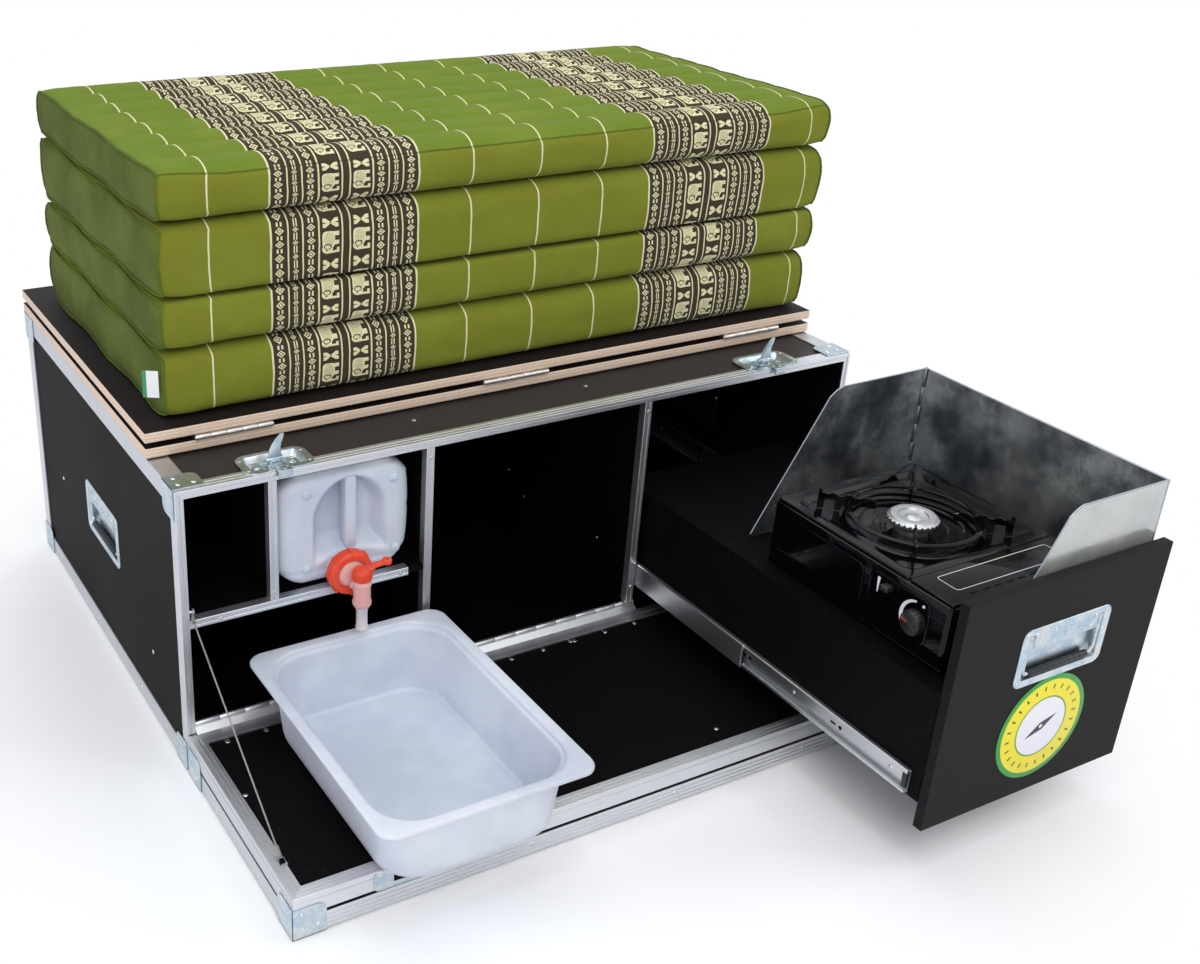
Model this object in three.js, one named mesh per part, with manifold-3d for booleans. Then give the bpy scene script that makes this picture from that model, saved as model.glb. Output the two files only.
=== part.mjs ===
// Camping box: a plywood flight case that opens into a camp kitchen, with a folded mattress on top.
// Millimetres, +Z up, +X along the front, +Y to the back. While it is built, zero is the case's
// front left corner on the ground; the finished group is moved to put its origin under its middle.
import * as THREE from 'three';
import { mergeVertices } from 'three/addons/utils/BufferGeometryUtils.js';
import Module from 'manifold-3d';

const wasm = await Module();
wasm.setup();

// Case shell
const caseWidth = 1200;
const caseDepth = 767;
const caseHeight = 462;
const panelThickness = 9.5;
const fit = 0.3;
const fittingThickness = 1.5;
const profileThickness = 2;
const edgeLeg = 30;
const rimFace = 12;
const rimLeg = 22;
const cornerPlate = 48;
const cornerChamfer = 11;
const frontPlateInset = 6;
const profileOut = fittingThickness + fit;
const skin = profileOut + profileThickness + fit;
const innerWall = skin + panelThickness;
const frontSet = profileThickness + fit;
const overrun = 5;
const weldDistance = 0.001;

// Interior dividers
const leftDividerX = 391;
const canisterDividerX = 142.5;
const drawerBayWidth = 400.6;
const trimWall = 1.5;
const trimDepth = 15;
const shelfTop = 254.5;
const shelfTrimEnd = 358;

// Flap and its hinge
const flapLength = 375;
const flapThickness = 65;
const flapGap = 2;
const flapTopLeg = 20;
const hingeRise = 10;
const hingeBarrel = 4.5;
const hingeBore = 2.2;
const hingePin = 1.8;
const hingeStart = 15;
const hingeOverBay = 10.2;
const hingeKnuckles = 20;
const knuckleGap = 0.6;
const leafThickness = 2;
const leafDepth = 24;
const sillDrop = 1;
const notchClear = 2;

// Telescopic drawer slides
const railHeight = 45;
const railWall = 1.3;
const railDepth = 12.4;
const railRunning = 0.4;
const railLevel = 133;
const outerRailStart = 16;
const outerRailLength = 680;
const middleRailStart = -270;
const middleRailLength = 600;
const innerRailStart = -606;
const innerRailLength = 650;

// Drawer
const drawerFrontOut = 638;
const drawerFrontThickness = 14;
const drawerFrontLow = 70;
const drawerFrontHigh = 422;
const drawerFrontLeftGap = 14.2;
const drawerFrontRightGap = 2.4;
const drawerBoxRear = 62;
const drawerBoxLow = 110;
const deckTop = 282.3;

// Recessed handles
const dishLength = 168;
const dishHeight = 91;
const dishRadius = 12;
const trayLength = 146;
const trayHeight = 70;
const trayDepth = 9.3;
const trayWall = 1.2;
const gripRadius = 5.5;
const gripLength = 112;
const armRadius = 3;
const handleClear = 0.5;
const sideHandleY = 376;
const sideHandleZ = 231;
const drawerHandleShift = 9;
const drawerHandleZ = 307;

// Butterfly latches
const latchInset = 160;
const latchY = 33;
const latchLength = 106;
const latchWidth = 62;
const latchRadius = 10;
const latchTrayLength = 84;
const latchTrayWidth = 44;
const latchTrayDepth = 9.7;
const rotorRadius = 13;
const rotorHub = 8;
const rotorThickness = 6;
const finHeight = 38;
const finRoot = 26;
const finTip = 12;
const finThickness = 3;
const clawWidth = 22;
const clawThickness = 2;
const clawReach = 8;
const clawLip = 12;
const keeperLength = 90;
const keeperHeight = 32;

// Bed boards
const boardThickness = 15;
const boardGap = 8.3;
const boardFront = 110;
const boardHingeLength = 118;
const boardHingeInset = 131;
const boardBarrel = 4;
const boardBore = 1.8;
const boardPin = 1.4;
const boardLeaf = 1.5;
const boardLeafDepth = 30;
const boardAxisOut = 2;
const boardKnuckles = 5;

// Mattress
const mattressLeft = 32;
const mattressShort = 24;
const mattressFront = 129;
const mattressDepth = 583;
const segmentHeights = [98.8, 76.7, 102.6, 77.9];
const segmentGap = 0.6;
const channels = 8;
const channelSteps = 4;
const channelRise = 7;
const sideBulge = 7;
const channelPower = 0.7;
const endCrown = 16;
const endInset = 20;
const endCrownShares = [[0, 1], [0.12, 0.5], [0.45, 0.2], [1, 0]];
const sideShares = [0.25, 0.5, 0.75];
const edgeRound = 24;

// Washing tub
const tubLeft = 90;
const tubWidth = 316;
const tubBack = -8;
const tubDepth = 440;
const tubHeight = 115;
const tubWall = 3;
const tubFlange = 14;
const tubTaper = 14;
const tubLip = 5;
const tubRimRadius = 26;
const tubMouthRadius = 62;
const tubBaseRadius = 46;

// Water canister and tap
const canisterLeft = 150.5;
const canisterWidth = 211;
const canisterFront = 8;
const canisterDepth = 320;
const canisterHeight = 190.8;
const canisterRadius = 30;
const canisterEase = 12;
const gripRecessWidth = 108;
const gripRecessLow = 46;
const gripRecessHigh = 170;
const gripRecessDepth = 38;
const canisterGripWidth = 19;
const canisterGripDepth = 16;
const neckRadius = 23;
const neckHeight = 24;
const neckReach = 9;
const capRadius = 36;
const capDepth = 20;
const capRibs = 8;
const capRibDepth = 3;
const barrelOut = 40;
const barrelRadius = 14;
const barrelLow = 238;
const barrelHigh = 282;
const barrelShift = 5;
const stubRadius = 9;
const spoutRadius = 9.5;
const spoutLow = 199;
const tapHeadRadius = 15;
const tapHeadHeight = 24;
const leverLength = 40;
const leverWidth = 9;
const leverThickness = 6;
const leverEnd = 7;

// Gas stove
const stoveInset = 28;
const stoveDepth = 280;
const stoveBehindFront = 30;
const stoveFront = drawerFrontThickness + stoveBehindFront - drawerFrontOut;
const stoveLength = 344;
const stoveLow = 298;
const stoveTop = 384;
const stoveChamfer = 8;
const footSize = 22;
const footInset = 14;
const hobPlate = 3.7;
const coverLength = 77;
const coverEdge = 4;
const pocketInset = 10;
const cartridgeLength = 188;
const burnerSetback = 208;
const burnerY = stoveFront + burnerSetback;
const panRadius = 100;
const panSlope = 16;
const panDepth = 26;
const panSheet = 1.5;
const burnerHole = 27;
const burnerRadius = 37;
const burnerStem = 20;
const burnerTop = 392;
const burnerSkirt = 14;
const burnerFloor = 330;
const supportRing = 94;
const supportRingWidth = 5;
const supportRingHeight = 7;
const supportArmInner = 52;
const supportArmOuter = 134;
const supportArmHeight = 23;
const supportArmThickness = 2.5;
const supportArmStep = 7;
const knobSetback = 53;
const knobY = stoveFront + knobSetback;
const knobZ = 339;
const knobRadius = 18;
const knobDepth = 17;
const knobGrip = 8;
const knobGripShare = 0.9;
const stoveLeverSetback = 105;
const stoveLeverY = stoveFront + stoveLeverSetback;
const stoveLeverZ = 364;
const stoveLeverWidth = 15;
const stoveLeverHeight = 10;
const stoveLeverDepth = 9;

// Windshield
const shieldTop = 509;
const shieldSheet = 1.2;
const shieldInset = 12.5;
const shieldAheadOfStove = 23;
const shieldBehindStove = 63;
const shieldFront = stoveFront - shieldAheadOfStove;
const shieldBack = stoveFront + stoveLength + shieldBehindStove;
const wingTopReach = 170;
const wingFootReach = 318;
const wingChamferRun = 23;
const wingChamferDrop = 13;
const rightWingTopReach = 166;
const rightWingFootReach = 300;
const shieldBarrel = 2.6;
const shieldKnuckles = 7;

// Stay cable
const stayX = 18;
const stayTopY = 8;
const stayTopZ = 266;
const stayFlapY = -302;
const stayRadius = 1.2;
const stayFerrule = 3;
const stayFerruleLength = 14;
const anchorRadius = 3;
const anchorStand = 5;

// Fasteners
const rivetRadius = 4;
const rivetTop = 2;
const rivetShank = 2;
const rivetHeight = 1.6;
const rivetInset = 14;
const rivetSpread = 22;
const rivetSides = 6;
const edgeRivetShares = [0.28, 0.5, 0.72];
const flapRivetShares = [0.3, 0.5, 0.7, 0.86];

const fullTurn = Math.PI * 2;
const quarterTurn = Math.PI / 2;

// Geometry helpers

// Keeps only the positions, so that shared corners merge.
function bare(geometry) {
  const copy = geometry.index ? geometry.toNonIndexed() : geometry.clone();
  for (const name of Object.keys(copy.attributes)) {
    if (name !== 'position') copy.deleteAttribute(name);
  }
  return copy;
}

function toSolid(geometry) {
  const welded = mergeVertices(bare(geometry), weldDistance);
  return new wasm.Manifold(new wasm.Mesh({
    numProp: 3,
    vertProperties: new Float32Array(welded.attributes.position.array),
    triVerts: new Uint32Array(welded.index.array),
  }));
}

function fromSolid(solid) {
  const mesh = solid.getMesh();
  const geometry = new THREE.BufferGeometry();
  geometry.setAttribute('position', new THREE.BufferAttribute(new Float32Array(mesh.vertProperties), 3));
  geometry.setIndex(new THREE.BufferAttribute(new Uint32Array(mesh.triVerts), 1));
  return geometry;
}

function joined(...geometries) {
  return fromSolid(geometries.map(toSolid).reduce((sum, next) => sum.add(next)));
}

function cut(body, ...tools) {
  return fromSolid(tools.map(toSolid).reduce((rest, tool) => rest.subtract(tool), toSolid(body)));
}

function block(x0, x1, y0, y1, z0, z1) {
  const geometry = new THREE.BoxGeometry(Math.abs(x1 - x0), Math.abs(y1 - y0), Math.abs(z1 - z0));
  return geometry.translate((x0 + x1) / 2, (y0 + y1) / 2, (z0 + z1) / 2);
}

function prismZ(points, z0, z1) {
  const shape = new THREE.Shape(points.map(([x, y]) => new THREE.Vector2(x, y)));
  const geometry = new THREE.ExtrudeGeometry(shape, { depth: Math.abs(z1 - z0), bevelEnabled: false });
  return geometry.translate(0, 0, Math.min(z0, z1));
}

// Points are (y, z) pairs.
function prismX(points, x0, x1) {
  const turn = new THREE.Matrix4().makeBasis(
    new THREE.Vector3(0, 1, 0), new THREE.Vector3(0, 0, 1), new THREE.Vector3(1, 0, 0));
  return prismZ(points, x0, x1).applyMatrix4(turn);
}

// Points are (x, z) pairs.
function prismY(points, y0, y1) {
  const turn = new THREE.Matrix4().makeBasis(
    new THREE.Vector3(1, 0, 0), new THREE.Vector3(0, 0, 1), new THREE.Vector3(0, -1, 0));
  return prismZ(points, -y1, -y0).applyMatrix4(turn);
}

function rod(from, to, radius, sides, endRadius = radius) {
  const start = new THREE.Vector3(...from);
  const end = new THREE.Vector3(...to);
  const along = end.clone().sub(start);
  const geometry = new THREE.CylinderGeometry(endRadius, radius, along.length(), sides);
  const upright = new THREE.Vector3(0, 1, 0);
  const turn = new THREE.Quaternion().setFromUnitVectors(upright, along.clone().normalize());
  geometry.applyQuaternion(turn);
  const middle = start.add(end).multiplyScalar(1 / 2);
  return geometry.translate(middle.x, middle.y, middle.z);
}

// Rounded rectangle outline, counter-clockwise.
function roundedOutline(x0, x1, y0, y1, radius, steps) {
  const corners = [
    [x1 - radius, y0 + radius, -quarterTurn], [x1 - radius, y1 - radius, 0],
    [x0 + radius, y1 - radius, quarterTurn], [x0 + radius, y0 + radius, quarterTurn * 2],
  ];
  const points = [];
  for (const [cx, cy, start] of corners) {
    for (let i = 0; i <= steps; i += 1) {
      const angle = start + quarterTurn * i / steps;
      points.push([cx + radius * Math.cos(angle), cy + radius * Math.sin(angle)]);
    }
  }
  return points;
}

// A closed skin through rings of equal length, capped at both ends by fans.
function loft(rings) {
  const count = rings[0].length;
  const positions = rings.flat(2);
  const index = [];
  for (let r = 0; r < rings.length - 1; r += 1) {
    for (let i = 0; i < count; i += 1) {
      const a = r * count + i;
      const b = r * count + (i + 1) % count;
      index.push(a, b, b + count, a, b + count, a + count);
    }
  }
  for (const [start, flip] of [[0, true], [(rings.length - 1) * count, false]]) {
    const ring = positions.slice(start * 3, (start + count) * 3);
    const mean = (k) => ring.filter((_, i) => i % 3 === k).reduce((sum, value) => sum + value, 0) / count;
    const centre = [0, 1, 2].map(mean);
    const hub = positions.length / 3;
    positions.push(...centre);
    for (let i = 0; i < count; i += 1) {
      const a = start + i;
      const b = start + (i + 1) % count;
      index.push(...(flip ? [hub, b, a] : [hub, a, b]));
    }
  }
  const geometry = new THREE.BufferGeometry();
  geometry.setAttribute('position', new THREE.Float32BufferAttribute(positions, 3));
  geometry.setIndex(index);
  return geometry;
}

function place(geometry, matrix) {
  return geometry.clone().applyMatrix4(matrix);
}

// A frame whose first axis lies along u, second up v and third out of the surface.
function frameAt(u, v, origin) {
  const along = new THREE.Vector3(...u);
  const up = new THREE.Vector3(...v);
  const out = along.clone().cross(up);
  return new THREE.Matrix4().makeBasis(along, up, out).setPosition(...origin);
}

// Materials
const finishes = {
  film: { color: '#1d1a19', roughness: 0.45, metalness: 0 },
  aluminium: { color: '#b9bbbd', roughness: 0.35, metalness: 0.9 },
  zinc: { color: '#aeb6b6', roughness: 0.4, metalness: 0.85 },
  steel: { color: '#c9ccce', roughness: 0.3, metalness: 0.9 },
  rubber: { color: '#17181a', roughness: 0.7, metalness: 0 },
  birch: { color: '#d9bfa0', roughness: 0.6, metalness: 0 },
  cotton: { color: '#6d8a2c', roughness: 0.9, metalness: 0 },
  milky: { color: '#dfe3ee', roughness: 0.4, metalness: 0 },
  red: { color: '#e3452c', roughness: 0.4, metalness: 0 },
  rose: { color: '#efb9bd', roughness: 0.4, metalness: 0 },
  enamel: { color: '#0e0e10', roughness: 0.2, metalness: 0.1 },
  galvanised: { color: '#8f9498', roughness: 0.35, metalness: 0.85 },
};

const box = new THREE.Group();

function add(name, geometry, finish) {
  const mesh = new THREE.Mesh(geometry, new THREE.MeshStandardMaterial(finishes[finish]));
  mesh.name = name;
  box.add(mesh);
}

// Shared parts

// A pressed dish for a recessed handle, in its own frame with the panel face at zero.
function handleDish() {
  const flange = prismZ(roundedOutline(-dishLength / 2, dishLength / 2, -dishHeight / 2, dishHeight / 2,
    dishRadius, 3), fit, fit + fittingThickness);
  const tray = block(-trayLength / 2, trayLength / 2, -trayHeight / 2, trayHeight / 2,
    fit + fittingThickness / 2, fit - trayDepth);
  const hollow = block(-trayLength / 2 + trayWall, trayLength / 2 - trayWall,
    -trayHeight / 2 + trayWall, trayHeight / 2 - trayWall, fit - trayDepth + trayWall, overrun);
  return cut(joined(flange, tray), hollow);
}

function handleHole() {
  return block(-trayLength / 2 - fit, trayLength / 2 + fit, -trayHeight / 2 - fit, trayHeight / 2 + fit,
    overrun, -drawerFrontThickness - overrun);
}

// The swinging bail hangs from the top of the tray.
const bailPivotDrop = trayWall + handleClear + armRadius + fit;
const bailPivotUp = trayHeight / 2 - bailPivotDrop;
const bailOut = fit - trayDepth + trayWall + handleClear + gripRadius;
const gripUp = -trayHeight / 2 + trayWall + handleClear + gripRadius;
function handleBail() {
  const armAt = trayLength / 2 - trayWall - handleClear - armRadius;
  const stubEnd = trayLength / 2 - trayWall - fit;
  const parts = [rod([-gripLength / 2, gripUp, bailOut], [gripLength / 2, gripUp, bailOut], gripRadius, 8)];
  parts.push(rod([-armAt, gripUp, bailOut], [armAt, gripUp, bailOut], armRadius, 6));
  for (const side of [-1, 1]) {
    parts.push(rod([side * armAt, gripUp - armRadius, bailOut],
      [side * armAt, bailPivotUp + armRadius / 2, bailOut], armRadius, 6));
    parts.push(rod([side * (armAt - armRadius), bailPivotUp, bailOut], [side * stubEnd, bailPivotUp, bailOut],
      armRadius / 2, 6));
  }
  return joined(...parts);
}

// A rivet whose head stands on the surface at point and whose shank goes depth into it.
function rivet(point, normal, depth) {
  const out = new THREE.Vector3(...normal);
  const at = (distance) => new THREE.Vector3(...point).addScaledVector(out, distance).toArray();
  return joined(rod(at(-depth), at(rivetHeight / 2), rivetShank, rivetSides),
    rod(at(-fit), at(rivetHeight), rivetRadius, rivetSides, rivetTop));
}

// Three rivets in a triangle on one plate of a corner. Those along the edge reach its profile.
function plateRivets(corner, inward, across, normal) {
  const near = fittingThickness / 2;
  const far = profileOut + fit;
  const spots = [[rivetInset, rivetInset, near], [rivetInset + rivetSpread, rivetInset, far],
    [rivetInset, rivetInset + rivetSpread, near]];
  return spots.map(([a, b, depth]) => rivet(corner.map((v, i) => v + inward[i] * a + across[i] * b),
    normal, depth));
}

// A pressed corner: one plate on each of the named faces, joined along their edges.
function cornerFitting(x, y, z, sx, sy, sz, faces, startY = 0) {
  const s = cornerPlate;
  const c = cornerChamfer;
  const t = fittingThickness;
  const outline = (a, b, pa, pb, from = 0) => [
    [pa + a * from, pb], [pa + a * s, pb], [pa + a * s, pb + b * (s - c)],
    [pa + a * (s - c), pb + b * s], [pa + a * from, pb + b * s],
  ];
  const plates = [];
  if (faces.includes('x')) plates.push(prismX(outline(sy, sz, y, z, startY), x, x + sx * t));
  if (faces.includes('y')) {
    plates.push(prismY(outline(sx, sz, x, z), Math.min(y, y + sy * t), Math.max(y, y + sy * t)));
  }
  if (faces.includes('z')) {
    const flat = outline(sy, sx, y, x, startY).map(([v, u]) => [u, v]);
    plates.push(prismZ(flat, Math.min(z, z + sz * t), Math.max(z, z + sz * t)));
  }
  return joined(...plates);
}

// An L-shaped profile section between two outer faces; a and b point into the body.
function angleSection(p, q, a, b, legA, legB) {
  const t = profileThickness;
  return [[p, q], [p + a * legA, q], [p + a * legA, q + b * t], [p + a * t, q + b * t],
    [p + a * t, q + b * legB], [p, q + b * legB]];
}

// Case
const leftFace = profileOut;
const rightFace = caseWidth - profileOut;
const backFace = caseDepth - profileOut;
const lowFace = profileOut;
const highFace = caseHeight - profileOut;
const innerLeft = innerWall + fit;
const innerRight = caseWidth - innerWall - fit;
const innerBack = caseDepth - innerWall - fit;
const innerLow = innerWall + fit;
const innerHigh = caseHeight - innerWall - fit;
const rimLow = highFace - rimFace;
const leftHandleFrame = frameAt([0, -1, 0], [0, 0, 1], [skin, sideHandleY, sideHandleZ]);
const rightHandleFrame = frameAt([0, 1, 0], [0, 0, 1], [caseWidth - skin, sideHandleY, sideHandleZ]);
const latchCentres = [latchInset, caseWidth - latchInset];
const latchFace = highFace;
const sillTop = flapThickness - sillDrop;

function latchTray(x, grow) {
  return block(x - latchTrayLength / 2 - grow, x + latchTrayLength / 2 + grow,
    latchY - latchTrayWidth / 2 - grow, latchY + latchTrayWidth / 2 + grow,
    latchFace + overrun, latchFace + fit - latchTrayDepth - grow);
}

function addPanels() {
  const left = block(skin, innerWall, frontSet, caseDepth - skin, skin, caseHeight - skin);
  const right = block(caseWidth - innerWall, caseWidth - skin, frontSet, caseDepth - skin,
    skin, caseHeight - skin);
  const stayPost = rod([innerWall - anchorStand / 2, stayTopY, stayTopZ],
    [innerWall + anchorStand, stayTopY, stayTopZ], anchorRadius, 8);
  add('left_panel', joined(cut(left, place(handleHole(), leftHandleFrame)), stayPost), 'film');
  add('right_panel', cut(right, place(handleHole(), rightHandleFrame)), 'film');
  const base = block(innerLeft, innerRight, frontSet, caseDepth - skin, skin, innerWall);
  const sill = block(innerLeft, innerRight, frontSet, frontSet + panelThickness, skin, sillTop);
  add('base_panel', joined(base, sill), 'film');
  const top = block(innerLeft, innerRight, frontSet, caseDepth - skin,
    caseHeight - innerWall, caseHeight - skin);
  add('top_panel', cut(top, ...latchCentres.map((x) => latchTray(x, fit))), 'film');
  const back = block(innerLeft, innerRight, caseDepth - innerWall, caseDepth - skin, innerLow, innerHigh);
  add('back_panel', back, 'film');
}

// The rim round the opening, with the U-shaped trims that cover the dividers' front edges.
function addFrontFrame() {
  const top = prismX(angleSection(0, highFace, 1, -1, rimLeg, rimFace), leftFace, rightFace);
  const bottom = prismX(angleSection(0, lowFace, 1, 1, rimLeg, rimFace), leftFace, rightFace);
  const left = prismZ(angleSection(leftFace, 0, 1, 1, rimFace, rimLeg), lowFace, highFace);
  const right = prismZ(angleSection(rightFace, 0, -1, 1, rimFace, rimLeg), lowFace, highFace);
  const trimHalf = panelThickness / 2 + fit + trimWall;
  const trimTop = rimLow - fit;
  const upright = (x, low) => [prismZ(uSection(x, 0, trimDepth, panelThickness), low, trimTop),
    block(x - trimHalf, x + trimHalf, 0, trimWall, trimTop - trimWall, rimLow + trimWall)];
  const shelfMiddle = shelfTop - panelThickness / 2;
  const flat = prismX(uSection(shelfMiddle, 0, trimDepth, panelThickness).map(([z, y]) => [y, z]),
    innerLeft, shelfTrimEnd);
  const flatEnd = block(leftFace + rimFace / 2, innerLeft + trimWall, 0, trimWall,
    shelfMiddle - trimHalf, shelfMiddle + trimHalf);
  const frame = joined(top, bottom, left, right, flat, flatEnd, ...upright(leftDividerX, notchTop),
    ...upright(rightDividerX, notchTop), ...upright(canisterDividerX, shelfTrimTop - trimWall / 2));
  add('front_frame', cut(frame, ...latchCentres.map((x) => latchTray(x, fit))), 'aluminium');
}

// Edge angles and pressed corners, riveted together: the lower frame is what the case stands on.
function addEdgeFrames() {
  const frontEnd = rimLeg + fit;
  const edgeY = (x, z, a, b) => prismY(angleSection(x, z, a, b, edgeLeg, edgeLeg), frontEnd, backFace);
  const edgeX = (z, b) => prismX(angleSection(backFace, z, -1, b, edgeLeg, edgeLeg), leftFace, rightFace);
  const upright = (x, a) => prismZ(angleSection(x, backFace, a, -1, edgeLeg, edgeLeg),
    lowFace + edgeLeg + fit, highFace);
  for (const [name, z, up, face] of [['base', 0, 1, lowFace], ['top', caseHeight, -1, highFace]]) {
    const parts = [edgeX(face, up)];
    for (const [x, n, side] of [[0, -1, leftFace], [caseWidth, 1, rightFace]]) {
      parts.push(edgeY(side, face, -n, up));
      parts.push(cornerFitting(x, 0, z, -n, 1, up, 'xz', frontPlateInset));
      parts.push(cornerFitting(x, caseDepth, z, -n, -1, up, 'xyz'));
      parts.push(...plateRivets([x, frontPlateInset, z], [0, 1, 0], [0, 0, up], [n, 0, 0]));
      parts.push(...plateRivets([x, caseDepth, z], [0, -1, 0], [0, 0, up], [n, 0, 0]));
      parts.push(...plateRivets([x, caseDepth, z], [-n, 0, 0], [0, 0, up], [0, 1, 0]));
      for (const share of edgeRivetShares) {
        parts.push(rivet([side, caseDepth * share, z + up * edgeLeg / 2], [n, 0, 0], profileThickness / 2));
      }
      if (up < 0) {
        parts.push(upright(side, -n));
        parts.push(...plateRivets([x, frontPlateInset, z], [0, 1, 0], [-n, 0, 0], [0, 0, 1]));
      }
    }
    add(`${name}_edge_frame`, joined(...parts), 'zinc');
  }
}

function addCaseHandles() {
  for (const [side, frame] of [['left', leftHandleFrame], ['right', rightHandleFrame]]) {
    add(`${side}_handle_dish`, place(handleDish(), frame), 'zinc');
    add(`${side}_handle_bail`, place(handleBail(), frame), 'rubber');
  }
}

// Latches: pressed dish, turning butterfly and sliding claw.
const flangeTop = latchFace + fit + fittingThickness;
const trayFloor = latchFace + fit - latchTrayDepth + trayWall;
function addLatches() {
  for (const [x, side] of [[latchCentres[0], 'left'], [latchCentres[1], 'right']]) {
    const flange = prismZ(roundedOutline(x - latchLength / 2, x + latchLength / 2,
      latchY - latchWidth / 2, latchY + latchWidth / 2, latchRadius, 3), latchFace + fit, flangeTop);
    const tray = block(x - latchTrayLength / 2, x + latchTrayLength / 2, latchY - latchTrayWidth / 2,
      latchY + latchTrayWidth / 2, latchFace + fit - latchTrayDepth, latchFace + fit + fittingThickness / 2);
    const hollow = block(x - latchTrayLength / 2 + trayWall, x + latchTrayLength / 2 - trayWall,
      latchY - latchTrayWidth / 2 + trayWall, latchY + latchTrayWidth / 2 - trayWall,
      trayFloor, flangeTop + overrun);
    add(`${side}_latch_dish`, cut(joined(flange, tray), hollow), 'zinc');
    const discLow = trayFloor + fit;
    const discHigh = discLow + rotorThickness;
    const hubHigh = flangeTop + fit + clawThickness;
    const finHigh = hubHigh + finHeight;
    const fin = prismY([[x - finRoot / 2, discHigh], [x + finRoot / 2, discHigh], [x + finRoot / 2, hubHigh],
      [x + finTip, finHigh], [x - finTip / 2, finHigh], [x - finRoot / 2, hubHigh]],
      latchY - finThickness / 2, latchY + finThickness / 2);
    const hub = rod([x, latchY, discLow + rotorThickness / 2], [x, latchY, hubHigh], rotorHub, 12);
    const disc = rod([x, latchY, discLow], [x, latchY, discHigh], rotorRadius, 16);
    add(`${side}_latch_rotor`, joined(disc, hub, fin), 'zinc');
    const clawBack = latchY - rotorHub - clawReach / 2 - fit;
    const plateLow = flangeTop + fit;
    const plate = block(x - clawWidth / 2, x + clawWidth / 2, -clawReach, clawBack,
      plateLow, plateLow + clawThickness);
    const lip = block(x - clawWidth / 2, x + clawWidth / 2, -clawReach, -clawReach + clawThickness,
      plateLow + clawThickness - clawLip, plateLow + clawThickness);
    add(`${side}_latch_claw`, joined(plate, lip), 'zinc');
  }
}

// Interior
const hingeY = hingeRise;
const hingeZ = flapThickness + hingeRise;
const caseLeafStart = hingeY - hingeBarrel;
const caseLeafBack = caseLeafStart + leafDepth;
const trimFront = trimWall + fit;
const notchTop = hingeZ + hingeBarrel + notchClear;
const notchBack = caseLeafBack + notchClear;
const bayRight = caseWidth - innerWall;
const bayLeft = bayRight - drawerBayWidth;
const rightDividerX = bayLeft - panelThickness / 2;
const shelfTrimTop = shelfTop + fit + trimWall;

function uSection(across, front, back, width) {
  const w = width / 2 + fit;
  const o = w + trimWall;
  return [[across - o, front], [across + o, front], [across + o, back], [across + w, back],
    [across + w, front + trimWall], [across - w, front + trimWall], [across - w, back], [across - o, back]];
}

// The shelf's front edge is rebated, so that its trim lies flush and the canister slides over it.
function addInterior() {
  const fullDivider = (x) => prismX([[notchBack, innerLow], [innerBack, innerLow], [innerBack, innerHigh],
    [trimFront, innerHigh], [trimFront, notchTop], [notchBack, notchTop]],
    x - panelThickness / 2, x + panelThickness / 2);
  add('left_divider', fullDivider(leftDividerX), 'film');
  add('right_divider', fullDivider(rightDividerX), 'film');
  const rise = prismX([[trimDepth + fit, shelfTop - fit], [innerBack, shelfTop - fit], [innerBack, innerHigh],
    [trimFront, innerHigh], [trimFront, shelfTrimTop + fit], [trimDepth + fit, shelfTrimTop + fit]],
    canisterDividerX - panelThickness / 2, canisterDividerX + panelThickness / 2);
  const shelfEnd = leftDividerX - panelThickness / 2 - fit;
  const shelf = joined(
    block(innerLeft, shelfEnd, trimFront, innerBack, shelfTop - panelThickness, shelfTop),
    block(innerLeft, shelfEnd, trimDepth + fit, innerBack, shelfTop - fit, shelfTrimTop));
  const trimNotch = block(leftDividerX - panelThickness / 2 - trimWall - fit * 2, leftDividerX,
    0, trimDepth + fit, shelfTop - panelThickness - overrun, shelfTrimTop + overrun);
  add('canister_shelf', joined(cut(shelf, trimNotch), rise), 'film');
}

// Drawer slides

// A C-shaped rail; base and lip are distances from the wall, the wall lies on the side of sign.
function railSection(wall, sign, base, lip, half) {
  const inner = half - railWall;
  const face = base + Math.sign(lip - base) * railWall;
  const outline = [[base, -half], [lip, -half], [lip, -inner], [face, -inner],
    [face, inner], [lip, inner], [lip, half], [base, half]];
  return outline.map(([d, h]) => [wall + sign * d, railLevel + h]);
}

function addRails() {
  const outerHalf = railHeight / 2;
  const middleHalf = outerHalf - railWall - railRunning;
  const innerHalf = middleHalf - railWall - railRunning;
  const middleBase = railWall + railRunning * 3;
  const middleLip = railDepth - railWall - railRunning * 2;
  const stages = [
    ['outer', 0, railDepth - railRunning * 2, outerHalf, outerRailStart, outerRailLength],
    ['middle', middleBase, middleLip, middleHalf, middleRailStart, middleRailLength],
    ['inner', railDepth, middleBase + railWall + railRunning, innerHalf, innerRailStart, innerRailLength],
  ];
  for (const [side, wall, sign] of [['left', bayLeft + fit, 1], ['right', bayRight - fit, -1]]) {
    for (const [stage, base, lip, half, start, length] of stages) {
      add(`${side}_${stage}_rail`, prismY(railSection(wall, sign, base, lip, half), start, start + length),
        'steel');
    }
  }
}

// Drawer
const boxLeft = bayLeft + fit + railDepth + fit;
const boxRight = bayRight - fit - railDepth - fit;
const boxFront = -drawerFrontOut + drawerFrontThickness + fit;
const frontLeft = bayLeft + drawerFrontLeftGap;
const frontRight = bayRight - drawerFrontRightGap;
const drawerHandleFrame = frameAt([1, 0, 0], [0, 0, 1],
  [(frontLeft + frontRight) / 2 + drawerHandleShift, -drawerFrontOut, drawerHandleZ]);

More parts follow.
